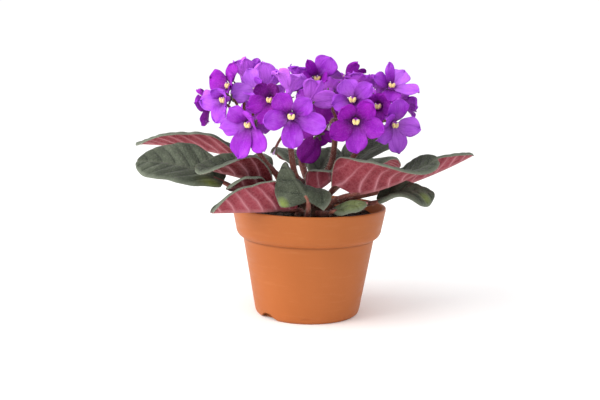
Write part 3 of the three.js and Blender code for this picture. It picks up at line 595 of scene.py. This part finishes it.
def vein_lines(look, along, across):
    """How near a point is to a side vein, 1 on it, and to the midrib."""
    reach = look.math("ABSOLUTE", across)
    bent = look.math("MULTIPLY_ADD", look.times(reach, reach), VEIN_BEND, look.times(reach, VEIN_SLANT))
    wander = look.times(look.math("SUBTRACT", look.noise(70, 2), 0.5), 3)
    along = look.math("ADD", look.math("SUBTRACT", along, bent), wander)
    phase = look.math("FRACT", look.math("DIVIDE", along, VEIN_SPACING))
    away = look.math("ABSOLUTE", look.math("SUBTRACT", phase, 0.5))
    side = look.ramp(away, (0, 1), (0.03, 0.7), (0.1, 0.22), (0.24, 0))
    side = look.times(side, look.ramp(look.math("DIVIDE", reach, 22), (0.3, 1), (0.95, 0.25)))
    middle = look.ramp(look.math("DIVIDE", reach, 6), (0, 1), (0.12, 0.8), (0.3, 0))
    return side, middle


def leaf_look():
    look = Look("leaf", 0.62, 0.18, 0.09, 0.35, (0.9, 0.95, 0.8))
    along, across, side = look.spot()
    patches_and_shade = look.attribute("tone")
    rim = look.attribute("rim")
    veins, midrib = vein_lines(look, along, across)
    cells = look.cells(380)
    net = look.ramp(cells, (0, 1), (0.16, 0))
    cloud = look.noise(60, 5)
    # Below zero the tone gives a deeper green and wine red: partly the leaf's own colour, partly painted
    # shade.
    deep_and_shade_share = look.times(patches_and_shade, -1, clamp=True)
    upper_stops = ((0.3, (0.026, 0.032, 0.02)), (0.5, (0.056, 0.066, 0.043)), (0.7, (0.112, 0.128, 0.088)))
    upper = look.tinted(deep_and_shade_share, look.ramp(cloud, *upper_stops), (0.7, 0.7, 0.66))
    upper = look.mix(look.times(net, 0.35), upper, (0.016, 0.02, 0.012))
    # Dark lines over the side veins on the upper face: painted shade in the sunken vein grooves.
    upper = look.mix(look.times(veins, 0.85), upper, (0.01, 0.014, 0.008))
    upper = look.mix(look.times(midrib, 0.55), upper, (0.11, 0.12, 0.085))
    patch = look.times(patches_and_shade, look.ramp(cloud, (0.35, 0.5), (0.6, 1)))
    upper = look.mix(patch, upper, (0.2, 0.26, 0.055))
    upper = look.mix(look.ramp(rim, (0.25, 0), (0.85, 0.6), (1, 0.95)), upper, (0.165, 0.185, 0.14))
    lower_stops = ((0.25, (0.17, 0.015, 0.026)), (0.5, (0.265, 0.036, 0.055)), (0.75, (0.36, 0.068, 0.095)))
    lower = look.tinted(deep_and_shade_share, look.ramp(cloud, *lower_stops), (0.48, 0.2, 0.2))
    lower = look.mix(look.times(net, 0.22), lower, (0.42, 0.12, 0.14))
    lower = look.mix(look.times(veins, 0.8), lower, (0.58, 0.25, 0.29))
    lower = look.mix(look.times(midrib, 0.7), lower, (0.45, 0.16, 0.18))
    lower = look.mix(look.ramp(rim, (0.9, 0), (1, 0.7)), lower, (0.2, 0.15, 0.12))
    fuzz = look.noise(2400, 2)
    colour = look.mix(side, lower, upper)
    pale = look.mix(side, (0.52, 0.22, 0.24), (0.26, 0.29, 0.23))
    colour = look.mix(look.ramp(fuzz, (0.52, 0), (0.7, 0.3)), colour, pale)
    height = look.math("ADD", look.times(cells, 1.2), look.times(fuzz, 0.35))
    height = look.math("SUBTRACT", height, look.times(veins, 0.5))
    look.bump(height, 0.6, 0.0008)
    return look.colour(colour)


def stalk_look():
    look = Look("stalk", 0.5, 0.2, 0.1, 0.4, (1, 0.8, 0.72))
    streaks = look.noise(60, 3, look.places((4, 4, 1)))
    stops = ((0.3, (0.085, 0.022, 0.018)), (0.55, (0.19, 0.055, 0.042)), (0.8, (0.24, 0.12, 0.07)))
    colour = look.ramp(streaks, *stops)
    colour = look.mix(look.ramp(look.noise(1800, 2), (0.5, 0), (0.7, 0.4)), colour, (0.42, 0.24, 0.2))
    look.bump(look.noise(700, 3), 0.35, 0.0004)
    return look.colour(colour)


def plain_look(name, surface, noise, *stops, bumps=None):
    """A look whose colour follows one noise, and whose bumps, if any, follow another."""
    look = Look(name, *surface)
    if bumps:
        scale, detail, strength, distance = bumps
        look.bump(look.noise(scale, detail), strength, distance)
    return look.colour(look.ramp(look.noise(*noise), *stops))


def anther_look():
    look = Look("anther", 0.65)
    grain = look.noise(1400, 3)
    along = look.spot()[0]
    colour = look.ramp(grain, (0.3, (0.7, 0.44, 0.13)), (0.6, (0.86, 0.72, 0.32)), (0.8, (0.94, 0.88, 0.6)))
    colour = look.mix(look.ramp(along, (0, 0.75), (0.5, 0)), colour, (0.88, 0.62, 0.4))
    look.bump(grain, 0.6, 0.0003)
    return look.colour(colour)


def pot_look():
    look = Look("pot", 0.46, 0.2)
    cloud = look.noise(16, 4)
    colour = look.ramp(cloud, (0.3, (0.37, 0.104, 0.023)), (0.7, (0.42, 0.122, 0.03)))
    drag = look.noise(40, 5, look.places((1, 1, 9)), 0.65)
    colour = look.mix(look.ramp(drag, (0.55, 0), (0.75, 0.1)), colour, (0.66, 0.3, 0.14))
    speck = look.noise(900, 3)
    colour = look.mix(look.ramp(speck, (0.6, 0), (0.74, 0.35)), colour, (0.36, 0.1, 0.028))
    # A dark line at the crease under the collar: painted shade.
    level = look.node("SeparateXYZ", {0: look.node("TexCoord").outputs["Object"]}).outputs[2]
    from_painted_shade = look.math("ABSOLUTE", look.math("MULTIPLY_ADD", level, 1 / MM, -PAINTED_SHADE_HEIGHT))
    colour = look.mix(look.ramp(from_painted_shade, (0.2, 0.45), (1, 0)), colour, (0.13, 0.035, 0.012))
    look.put(look.shader.inputs["Roughness"], look.ramp(drag, (0.3, 0.38), (0.75, 0.56)))
    height = look.math("ADD", look.times(speck, 0.5), look.times(drag, 0.8))
    look.bump(height, 0.22, 0.0005)
    return look.colour(colour)


def soil_look():
    look = Look("soil", 0.95)
    grain = look.noise(380, 6, None, 0.7)
    stops = ((0.35, (0.008, 0.004, 0.002)), (0.55, (0.035, 0.018, 0.01)), (0.75, (0.1, 0.055, 0.03)))
    colour = look.ramp(grain, *stops)
    look.bump(grain, 0.9, 0.0015)
    return look.colour(colour)


PETAL = petal_look()
LEAF = leaf_look()
STEM = stalk_look()
ANTHER = anther_look()
CLAY = pot_look()
PEAT = soil_look()
BUD = plain_look("bud", (0.55, 0.5, 0.3), (350, 3), (0.3, (0.42, 0.2, 0.52)), (0.7, (0.8, 0.66, 0.74)))
HAIR = plain_look("hair", (0.45,), (200, 2), (0.3, (0.42, 0.4, 0.34)), (0.7, (0.72, 0.68, 0.6)))
STYLE = plain_look("style", (0.5,), (900, 2), (0.3, (0.62, 0.4, 0.66)), (0.7, (0.86, 0.74, 0.82)))
SEPAL = plain_look(
    "sepal", (0.6, 0.5, 0.3), (500, 3), (0.3, (0.035, 0.022, 0.012)), (0.7, (0.1, 0.085, 0.035)),
    bumps=(1500, 2, 0.3, 0.0003))
TRUNK = plain_look(
    "crown", (0.85,), (260, 5), (0.3, (0.055, 0.02, 0.012)), (0.6, (0.15, 0.07, 0.04)),
    (0.8, (0.22, 0.14, 0.08)), bumps=(420, 5, 0.8, 0.0012))

# Leaves


def outline(u, widest):
    """The width of a blade along its length, as a share of its widest."""
    t = np.where(u < widest, (widest - u) / (widest * 1.05), (u - widest) / ((1 - widest) * 1.015))
    return np.sqrt(np.maximum(0, 1 - t * t))


def crown_radius(height):
    above = max(0, (height - CROWN["shoulder"]) / (CROWN["top"] - CROWN["shoulder"]))
    return CROWN["radius"] * (1 - (1 - math.sqrt(1 - above)) ** 2)


def vein_distance(along, across):
    """How far a point lies from the nearest side vein."""
    reach = np.abs(across)
    q = along - VEIN_SLANT * reach - VEIN_BEND * reach**2
    return np.abs(np.mod(q / VEIN_SPACING, 1) - 0.5) * VEIN_SPACING * 0.75


def blade(shape, entry, patches, deep_and_shade, stations=97, half=17):
    """The blade of a leaf: folded along its midrib, quilted between its veins, its margin rolled."""
    base, tip = np.array(entry.base, float), np.array(entry.tip, float)
    axis = tip - base
    length = np.linalg.norm(axis)
    axis /= length
    normal = unit(UP - axis * np.dot(UP, axis))
    roll = math.radians(entry.roll)
    normal = normal * math.cos(roll) + np.cross(axis, normal) * math.sin(roll)
    theta = np.linspace(0, math.pi, stations)
    u = 0.5 - 0.5 * np.cos(theta)
    bow = entry.arch
    centre = base + np.outer(length * u, axis) + np.outer(4 * bow * u * (1 - u), normal)
    way = unit(axis + np.outer(4 * bow * (1 - 2 * u) / length, normal))
    level = unit(normal - way * (way @ normal)[:, None])
    right = np.cross(way, level)
    shown = outline(u, entry.widest)
    width = entry.width / 2 * shown * 1.03
    shares = 1 - (1 - np.arange(1, half + 1) / half) ** 1.5
    strips = {-1: [], 1: []}
    for side in strips:
        fold = three_way(*(entry.left if side < 0 else entry.right), u)
        margin_roll = np.clip(62 + 0.9 * fold, 25, 112)
        wander = 1 + 0.012 * np.sin(length * 0.55 * u + side) + 0.02 * np.sin(length * 0.21 * u + 2 * side)
        wave = LEAF_WAVE * np.sin(16.8 * theta / math.pi + side + tip[0]) * shown
        lobe = entry.lobe if side > 0 else 0
        back = way * (lobe * (1 - u) ** 3)[:, None]
        line = centre
        before = 0.0
        for s in shares:
            middle = (s + before) / 2
            from_edge = (1 - middle) * width
            rise = np.radians(fold * (0.75 + 0.6 * middle) - margin_roll * smoothstep(3.6, 0.4, from_edge))
            step = (width * wander * (s - before))[:, None]
            line = line + side * right * step * np.cos(rise)[:, None] + level * step * np.sin(rise)[:, None]
            line = line - back * (s - before)
            strips[side].append((line + level * (wave * s**3)[:, None], side * s * width, s))
            before = s
    lines, offsets, s = zip(*strips[-1][::-1], (centre, np.zeros(stations), 0), *strips[1])
    grid = np.stack(lines, axis=1)
    across = np.stack(offsets, axis=1)
    s = np.broadcast_to(s, across.shape)
    along = np.broadcast_to((length * u)[:, None], across.shape)
    near = vein_distance(along, across)
    inside = (1 - s) * width[:, None]
    calm = smoothstep(0, 0.12, s) * smoothstep(0.5, 5, inside) * np.sin(theta)[:, None]
    quilt = 0.9 * calm * (1 - np.exp(-((near / 2.0) ** 2)))
    valley = 0.6 * np.exp(-((across / 1.5) ** 2))
    grid = grid + normals(grid) * (quilt - valley)[..., None]
    half_depth = LEAF_THICKNESS / 2 * (1 - 0.45 * s**4)
    ridge = 0.45 * calm * np.exp(-((near / 0.9) ** 2))
    ridge += 0.6 * (1.1 - u[:, None]) * np.exp(-((across / 1.3) ** 2))
    # Each leaf starts below zero by its share of deeper colour and painted shade; the yellow-green patches
    # lift it above that.
    patches_and_shade = np.full_like(across, -deep_and_shade)
    for at_u, at_v, radius, strength in patches:
        away = (along - at_u * length) ** 2 + (across - at_v * entry.width / 2) ** 2
        patches_and_shade = np.maximum(patches_and_shade, (strength + deep_and_shade) * np.exp(-away / radius**2) - deep_and_shade)
    margin = np.clip(1 - inside / 4, 0, 1)
    spot = np.stack([along, across], axis=2)
    sheet(shape, grid, half_depth, half_depth + ridge, spot, 0, patches_and_shade, margin)
    return grid, normal, centre


def leaf(shape, entry, hair, patches=(), deep_and_shade=0.0, clearance=0.5):
    """Slot 0 is the blade, 1 the petiole and 2 the hairs, of which hair is the share that it has."""
    grid, normal, centre = blade(shape, entry, patches, deep_and_shade)
    turn, height = entry.start
    away = facing(turn, 0)
    root = away * (crown_radius(height) + clearance) + UP * height
    start = away * (CROWN["radius"] + 5) + UP * (height + 0.4)
    stations = len(centre)
    under = [centre[int(stations * share)] - normal * drop for share, drop in ((0, 0.6), (0.22, 0.35))]
    line = through([root, start, entry.via, *under], 40)
    share = np.linspace(0, 1, len(line))
    rings = tube(shape, line, np.interp(share, (0, 0.86, 1), (PETIOLE[0], PETIOLE[1], 0.9)), 12, 1)
    hairy_tube(shape, rings[:34], line[:34], PETIOLE_HAIRS[0] * hair, PETIOLE_HAIRS[1], 2)
    for rim, inner in ((grid[3:-3, 0], grid[3:-3, 1]), (grid[3:-3, -1], grid[3:-3, -2])):
        pick = RNG.integers(0, len(rim), int(MARGIN_HAIRS[0] * hair))
        slide = RNG.uniform(-0.5, 0.5, (len(pick), 1))
        step = np.gradient(rim, axis=0)[pick]
        ways = (rim - inner)[pick] + 0.4 * RNG.standard_normal((len(pick), 3))
        hairs(shape, rim[pick] + step * slide, ways, MARGIN_HAIRS[1], 2, 0.05)


for name, entry in LEAVES.items():
    made = Shape()
    patches = [patch[1:] for patch in PATCHES if patch[0] == name]
    hair = 0.5 if entry.width < 20 else 1.0
    leaf(made, entry, hair, patches, DEEP_AND_SHADED_LEAVES.get(name, 0))
    made.piece(f"leaf_{name}_detail", [LEAF, STEM, HAIR], f"leaf_{name}")

# Blooms


def bloom_frame(entry):
    out = facing(*entry.face)
    flat = unit(UP - out * np.dot(UP, out))
    return np.array(entry.at, float), out, flat, np.cross(flat, out)


def petals_of(entry):
    """Each petal as (direction, lean, length, half width), as in the table."""
    if entry.petals:
        return entry.petals
    rows = []
    for number, angle in enumerate(PETAL_ANGLES):
        small = number < 2
        lean = entry.cup + 10 * (chance(number, entry.size + entry.at[0]) - 0.5)
        shares = (0.78, 0.315) if small else (1, 0.35)
        rows.append((angle + entry.roll, lean, *shares))
    return rows


def petal(shape, entry, number, stations=22, columns=15):
    """One petal: out of the throat, rounded at the tip, and gently ruffled."""
    at, size = entry.at, entry.size
    centre, out, flat, right = bloom_frame(entry)
    angle, lean, reach_share, half_share = petals_of(entry)[number]
    turn = math.radians(angle)
    along = right * math.cos(turn) + flat * math.sin(turn)
    across = np.cross(along, out)
    length = size * reach_share - THROAT
    local = np.random.default_rng(int(abs(at[0] * 31 + at[2] * 17)) + number)
    half = size * half_share * 1.04
    t = np.linspace(0, 1, stations)
    u = np.concatenate([[-0.16, -0.1, -0.05], 1 - (1 - t) ** 1.5])
    shown = np.clip(u, 0, 1)
    rise = np.radians(lean * (1.25 - 0.75 * shown))
    step = np.diff(shown, prepend=0) * length
    radius = 0.9 * THROAT + np.cumsum(step * np.cos(rise))
    depth = np.cumsum(step * np.sin(rise))
    radius[:3] = (0.7, 1.5, 2.2)
    depth[:3] = (-2.2, -1.2, -0.45)
    root = 0.62 * THROAT
    swell = np.sin(math.pi / 2 * np.clip(u / 0.64, 0, 1)) ** 0.55
    blunt = local.uniform(1.7, 2.8)
    close = np.maximum(0.0006, 1 - np.clip((u - 0.6) / 0.4, 0, 1) ** blunt) ** local.uniform(0.5, 0.68)
    width = (root + (half - root) * swell) * close
    width[:3] = (0.55, 1.15, 1.65)
    v = np.linspace(-1, 1, columns)[None]
    reach = shown[:, None]
    phase = local.uniform(0, 6.28, 2)
    ragged = 1 + 0.035 * reach * np.sin(13 * u[:, None] + phase[0] + (v > 0) * phase[1])
    sharp = local.uniform(0, 1.1) * reach**8 * np.exp(-((v / 0.5) ** 2))
    notched = 0.25 * np.sin(11 * v + phase[1]) * reach**6
    bend = 0.13 + 0.08 * local.standard_normal()
    waves = local.uniform(0, 6.28, 3)
    cross = width[:, None] * bend * (v**2 - 0.45)
    ruffle = 1.5 * (reach * np.abs(v)) ** 1.5 * np.sin(5.6 * reach + waves[0] + (v > 0) * waves[1])
    ripple = 0.85 * reach**3 * np.sin(4.6 * v + waves[2])
    pleat = -0.45 * np.exp(-((v / 0.16) ** 2)) * (1 - 0.6 * reach)
    curl = -1.6 * reach**6 * local.uniform(-0.2, 1)
    crumple = 0.2 * np.sin(8 * v + 6 * reach + waves[1]) * reach
    lift = depth[:, None] + cross + ruffle + ripple + pleat + curl + crumple
    grid = (
        centre
        + along * (radius[:, None] + sharp + notched)[..., None]
        + across * (width[:, None] * v * ragged)[..., None]
        + out * (lift + 0.12 * number)[..., None]
    )
    thick = np.broadcast_to((0.26 - 0.12 * reach) * (1 - 0.3 * v**4), lift.shape)
    spot = np.stack(np.broadcast_arrays(reach, v * (0.35 + 0.65 * reach)), axis=2)
    own = (entry.tones or [entry.tone] * 5)[number] + 0.12 * local.standard_normal()
    sheet(shape, grid, thick, thick, spot, 0, own, np.abs(v))


def corolla(name, entry):
    shape = Shape()
    for number in range(5):
        petal(shape, entry, number)
    centre, out, _, _ = bloom_frame(entry)
    line = centre - out * np.linspace(-0.1, TUBE_LENGTH, 8)[:, None]
    radii = np.interp(np.linspace(0, 1, 8), (0, 0.15, 0.5, 1), (2.2, 2.6, 2.0, TUBE_BACK))
    tube(shape, line, radii, 14, 0, (0.1, 0, 0), entry.tone)
    shape.piece(f"bloom_{name}_detail", [PETAL], f"bloom_{name}")


def throat(name, entry, replaced):
    """Two anthers joined like a heart, on their filaments, with the style beside them."""
    centre, out, flat, right = bloom_frame(entry)
    if not replaced:
        centre = centre - out * 1.5
    local = np.random.default_rng(ord(name))
    shape = Shape()
    for side in (-1, 1):
        tilt = side * 0.32
        long = right * math.sin(tilt) + flat * math.cos(tilt)
        wide = right * math.cos(tilt) - flat * math.sin(tilt)
        middle = centre + out * 1.75 + right * side * 1.08
        axes = [wide * 1.15, long * 1.95, out * 1.25]
        ball(shape, middle, axes, 0, (1, 0, 1), 0.03, int(local.integers(99)))
        foot = centre - out * 1.2 + right * side * 0.5 - flat * 0.5
        line = bezier(foot, foot + out * 1.2, middle - out * 1.6, middle, 8)
        tube(shape, line, np.full(8, 0.42), 7, 0)
    lean = local.uniform(-1, 1)
    foot = centre - out * 1.0 + flat * 0.6
    end = centre + out * 3.4 + flat * 1.7 + right * 1.6 * lean
    line = bezier(foot, foot + out * 1.5, end - out * 1.4, end, 10)
    tube(shape, line, np.interp(np.linspace(0, 1, 10), (0, 0.8, 1), (0.36, 0.28, 0.4)), 7, 1)
    shape.piece(f"anthers_{name}_detail", [ANTHER, STYLE], replaced)


NODES = set(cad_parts)
for name, entry in BLOOMS.items():
    corolla(name, entry)
    node = f"anthers_{name}"
    throat(name, entry, node if node in NODES else None)

# Flower stalks


def pedicel(shape, fork, heading, end, out, sag=0.0):
    reach = np.linalg.norm(end - fork)
    leave = fork + heading * reach * 0.12 + unit(end - fork) * reach * 0.2
    arrive = end - out * reach * 0.35 - UP * sag
    line = bezier(fork, leave, arrive, end, 22)
    rings = tube(shape, line, np.linspace(PEDICEL, PEDICEL * 0.85, 22), 9, 0)
    hairy_tube(shape, rings, line, *PEDICEL_HAIRS, 3)


def sepals(shape, foot, out, t, reach, rise, half_width, curl=0.0):
    """Five narrow pointed sepals round a foot, from how far out and up each is along its length."""
    side, other = square_to(out)
    v = np.linspace(-1, 1, 5)
    width = half_width * np.sqrt(np.maximum(0.003, 1 - ((t - 0.3) / 0.7) ** 2))
    thick = np.full((len(t), len(v)), 0.2)
    for k in range(5):
        turn = math.tau * k / 5
        away = side * math.cos(turn) + other * math.sin(turn)
        across = np.cross(out, away)
        spine = foot + np.outer(reach, away) + np.outer(rise, out)
        grid = spine[:, None] + across * (width[:, None] * v)[..., None] + out * (curl * v[:, None] ** 2)
        sheet(shape, grid, thick, thick, np.zeros((*thick.shape, 2)), 1)


def calyx(shape, end, out):
    """A knob and five sepals that stand out round it."""
    side, other = square_to(out)
    ball(shape, end - out * 1.5, [side * 1.6, other * 1.6, out * 1.7], 1)
    t = np.linspace(0, 1, 9)
    sepals(shape, end - out * 1.6, out, t, 0.6 + 3.9 * t, 1.9 * t**1.5, 0.75, 0.25)


def bud(shape, fork, heading, place, face):
    """A closed bud on its pedicel, held by five sepals."""
    out = facing(*face)
    end = np.array(place, float)
    pedicel(shape, fork, heading, end, out)
    side, other = square_to(out)
    ball(shape, end + out * 1.8, [side * 1.6, other * 1.6, out * 2.6], 2)
    t = np.linspace(0, 1, 8)
    sepals(shape, end, out, t, 1.0 + 0.85 * np.sin(math.pi * t * 0.8), 4.6 * t - 0.6, 0.8)


def crown_top(x, y):
    t = 1 - math.sqrt(1 - min(1, math.hypot(x, y) / CROWN["radius"]))
    return CROWN["top"] - (CROWN["top"] - CROWN["shoulder"]) * t * t


def spray(name, foot, via, fork, bud_place, bud_face):
    """Slot 0 is the stalk, 1 the sepals, 2 the buds and 3 the hairs."""
    shape = Shape()
    foot = np.array([*foot, crown_top(*foot) + 0.6])
    fork = np.array(fork, float)
    heading = unit(fork - np.array(via))
    line = through([foot, foot + UP * 5, via, fork], 36)
    share = np.linspace(0, 1, len(line))
    radii = np.interp(share, (0, 0.05, 1), (STALK[0] + 0.3, STALK[0], STALK[1]))
    rings = tube(shape, line, radii, 14, 0)
    hairy_tube(shape, rings, line, *STALK_HAIRS, 3)
    ball(shape, fork, np.eye(3) * STALK[1] * 1.35, 0)
    for entry in BLOOMS.values():
        if entry.spray != name:
            continue
        centre, out, _, _ = bloom_frame(entry)
        end = centre - out * (TUBE_LENGTH + GAP)
        pedicel(shape, fork, heading, end - out * 0.8, out, entry.sag)
        calyx(shape, end, out)
    bud(shape, fork, heading, bud_place, bud_face)
    shape.piece(f"stalk_{name}_detail", [STEM, SEPAL, BUD, HAIR], f"stalk_{name}")


for name, entry in SPRAYS.items():
    spray(name, *entry)

# Crown


def crown():
    """Slot 0 is young leaves, 1 petioles, 2 hairs and 3 the trunk."""
    shape = Shape()
    for entry in YOUNG_LEAVES:
        leaf(shape, entry, 0.6, clearance=-5)
    trunk = np.linspace(CROWN["base"], CROWN["shoulder"], 18)
    heights = np.concatenate([trunk, np.linspace(75, CROWN["top"] - 0.05, 9)])
    radii = [crown_radius(z) * min(1, 0.6 + (z - CROWN["base"]) / 35) for z in heights]
    wobble = 1 + 0.03 * np.sin(np.arange(len(heights)) * 1.9)
    line = np.stack([np.zeros_like(heights), np.zeros_like(heights), heights], axis=1)
    tube(shape, line, np.array(radii) * wobble, 28, 3)
    shape.piece("crown_detail", [LEAF, STEM, HAIR, TRUNK], "crown")


crown()

# Pot and soil


def level_ring(radius, height, sides):
    turn = np.linspace(0, math.tau, sides, endpoint=False)
    return [(radius * math.cos(t), radius * math.sin(t), height) for t in turn]


def bow(start, control, end, steps=6):
    """Points along a rounded corner, without its first one."""
    start, control, end = (np.array(p, float) for p in (start, control, end))
    shares = np.linspace(0, 1, steps + 1)[1:]
    return [tuple(start * (1 - t) ** 2 + 2 * control * t * (1 - t) + end * t**2) for t in shares]


def notch(turn, start, reach):
    """A bar with an arched top that lies along a radius, under the pot's edge."""
    half = NOTCH_HALF_WIDTH
    x = np.linspace(-half, half, 25)
    z = NOTCH_HEIGHT * smoothstep(half + 0.5, 2.2, np.abs(x))
    outer = np.concatenate([[(-half, -1)], np.stack([x, z], axis=1), [(half, -1)]])
    n = len(outer)
    points = [(px, -start - d, pz) for d in (0, reach) for px, pz in outer]
    faces = [tuple(range(n)), tuple(range(2 * n - 1, n - 1, -1))]
    faces += [(k, k + n, (k + 1) % n + n, (k + 1) % n) for k in range(n)]
    c, d = math.cos(math.radians(turn)), math.sin(math.radians(turn))
    arch = Shape()
    arch.add([(px * c - py * d, px * d + py * c, pz) for px, py, pz in points], faces)
    return arch


def pot():
    """A skin that runs out under the pot, up its wall and collar, over the lip and down inside."""
    profile = [(20, 0), (34, 0)]
    profile += bow((34, 0), (35.6, 0), (36.3, 3.2))
    profile += [(36.45, 4.1), (36.65, 5.2), (39.2, 19.8), (42.1, 36.3), NECK]
    profile += bow(NECK, (45.0, 52.9), (45.6, 53.1), 3)
    profile += bow((45.6, 53.1), (49.5, 54.6), (49.9, 59.5), 8)
    profile += [(51.2, 66.1), (52.3, 71.9)]
    profile += bow((52.3, 71.9), (52.8, 74.4), (51.4, 74.3), 6)
    profile += bow((51.2, 74.3), (50.6, 74.3), (50.4, 73.3), 4)
    profile += POT_INSIDE[:-1]
    shape = Shape()
    stacked(shape, [level_ring(r, z, 160) for r, z in profile], (0, 0, 0), (0, 0, POT_INSIDE[-1][1]))
    body = shape.piece("pot_detail", [CLAY], "pot")
    for entry in NOTCHES:
        carve(body, notch(*entry))


def carve(body, shape):
    """Cut the shape out of the body."""
    cutter = placed("cutter", shape.mesh("cutter"))
    modifier = body.modifiers.new("notch", "BOOLEAN")
    modifier.object = cutter
    modifier.operation = "DIFFERENCE"
    modifier.solver = "EXACT"
    cut = bpy.data.meshes.new_from_object(body.evaluated_get(bpy.context.evaluated_depsgraph_get()))
    body.modifiers.remove(modifier)
    body.data = cut
    cut.set_sharp_from_angle(angle=math.radians(40))
    bpy.data.objects.remove(cutter)


def soil():
    """A packed disc of peat with a lumpy top, and loose crumbs on it."""
    sides, edge = 120, SOIL["edge"]
    turn = np.linspace(0, math.tau, sides, endpoint=False)

    def top(r, t):
        lumps = np.sin(r * 0.55 + t * 3) * np.cos(t * 5 + r * 0.2)
        fine = 0.5 * np.sin(r * 1.9 + 11 * t) * np.cos(9 * t - r * 1.3)
        return SOIL["level"] + 1.0 * lumps + fine

    rings = [level_ring(43.4, SOIL["bottom"], sides), level_ring(48, 60, sides)]
    for r in np.linspace(edge - 0.4, 1.5, 30):
        rings.append([(r * math.cos(t), r * math.sin(t), float(top(r, t))) for t in turn])
    shape = Shape()
    stacked(shape, rings, (0, 0, SOIL["bottom"]), (0, 0, SOIL["level"]))
    for seed in range(SOIL["crumbs"]):
        r = math.sqrt(RNG.uniform(0.05, 0.93)) * edge
        t = RNG.uniform(0, math.tau)
        size = RNG.uniform(0.4, 1.5)
        axes = np.linalg.qr(RNG.standard_normal((3, 3)))[0] * size * RNG.uniform(0.6, 1.1, (3, 1))
        if np.linalg.det(axes) < 0:
            axes = -axes
        place = (r * math.cos(t), r * math.sin(t), float(top(r, t)) + 0.2 * size)
        ball(shape, place, axes, 0, rough=0.12, seed=seed)
    shape.piece("soil_detail", [PEAT], "soil")


pot()
soil()

# Stage, light and camera

floor_mesh = bpy.data.meshes.new("floor")
floor_mesh.from_pydata([(-6, -6, 0), (6, -6, 0), (6, 6, 0), (-6, 6, 0)], [], [(0, 1, 2, 3)])
floor = placed("floor", floor_mesh)
floor_mesh.materials.append(Look("floor", 0.95).colour((1, 1, 1)))

# In metres: what the light looks at, where it stands, and where the camera stands.
PLANT_MIDDLE = Vector((0, 0, 0.11))
KEY_PLACE = Vector((-1.1, -0.42, 0.74))
CAMERA_PLACE = (0, -0.565, 0.160)
# The camera's turn, its tilt from looking straight down and its roll, in degrees.
CAMERA_TURNS = ((0.643, "Z"), (81.7, "X"), (1.1, "Z"))

light = bpy.data.lights.new("key", "AREA")
light.size = 1.2
light.energy = 20
light.color = (1, 0.985, 0.96)
key = placed("key", light)
key.matrix_world = Matrix.Translation(KEY_PLACE) @ (
    (PLANT_MIDDLE - KEY_PLACE).to_track_quat("-Z", "Y").to_matrix().to_4x4()
)

world = bpy.data.worlds.new("studio")
bpy.context.scene.world = world
world.use_nodes = True
background = world.node_tree.nodes["Background"].inputs
background["Color"].default_value = (1, 1, 1, 1)
background["Strength"].default_value = 1.04
bpy.context.scene.view_settings.view_transform = "Standard"

camera = bpy.data.cameras.new("camera")
camera.sensor_width = 36
camera.lens = 50
camera.clip_start = 0.01
viewer = placed("camera", camera)
pose = Matrix.Translation(CAMERA_PLACE)
for degrees, axis in CAMERA_TURNS:
    pose @= Matrix.Rotation(math.radians(degrees), 4, axis)
viewer.matrix_world = pose
bpy.context.scene.camera = viewer
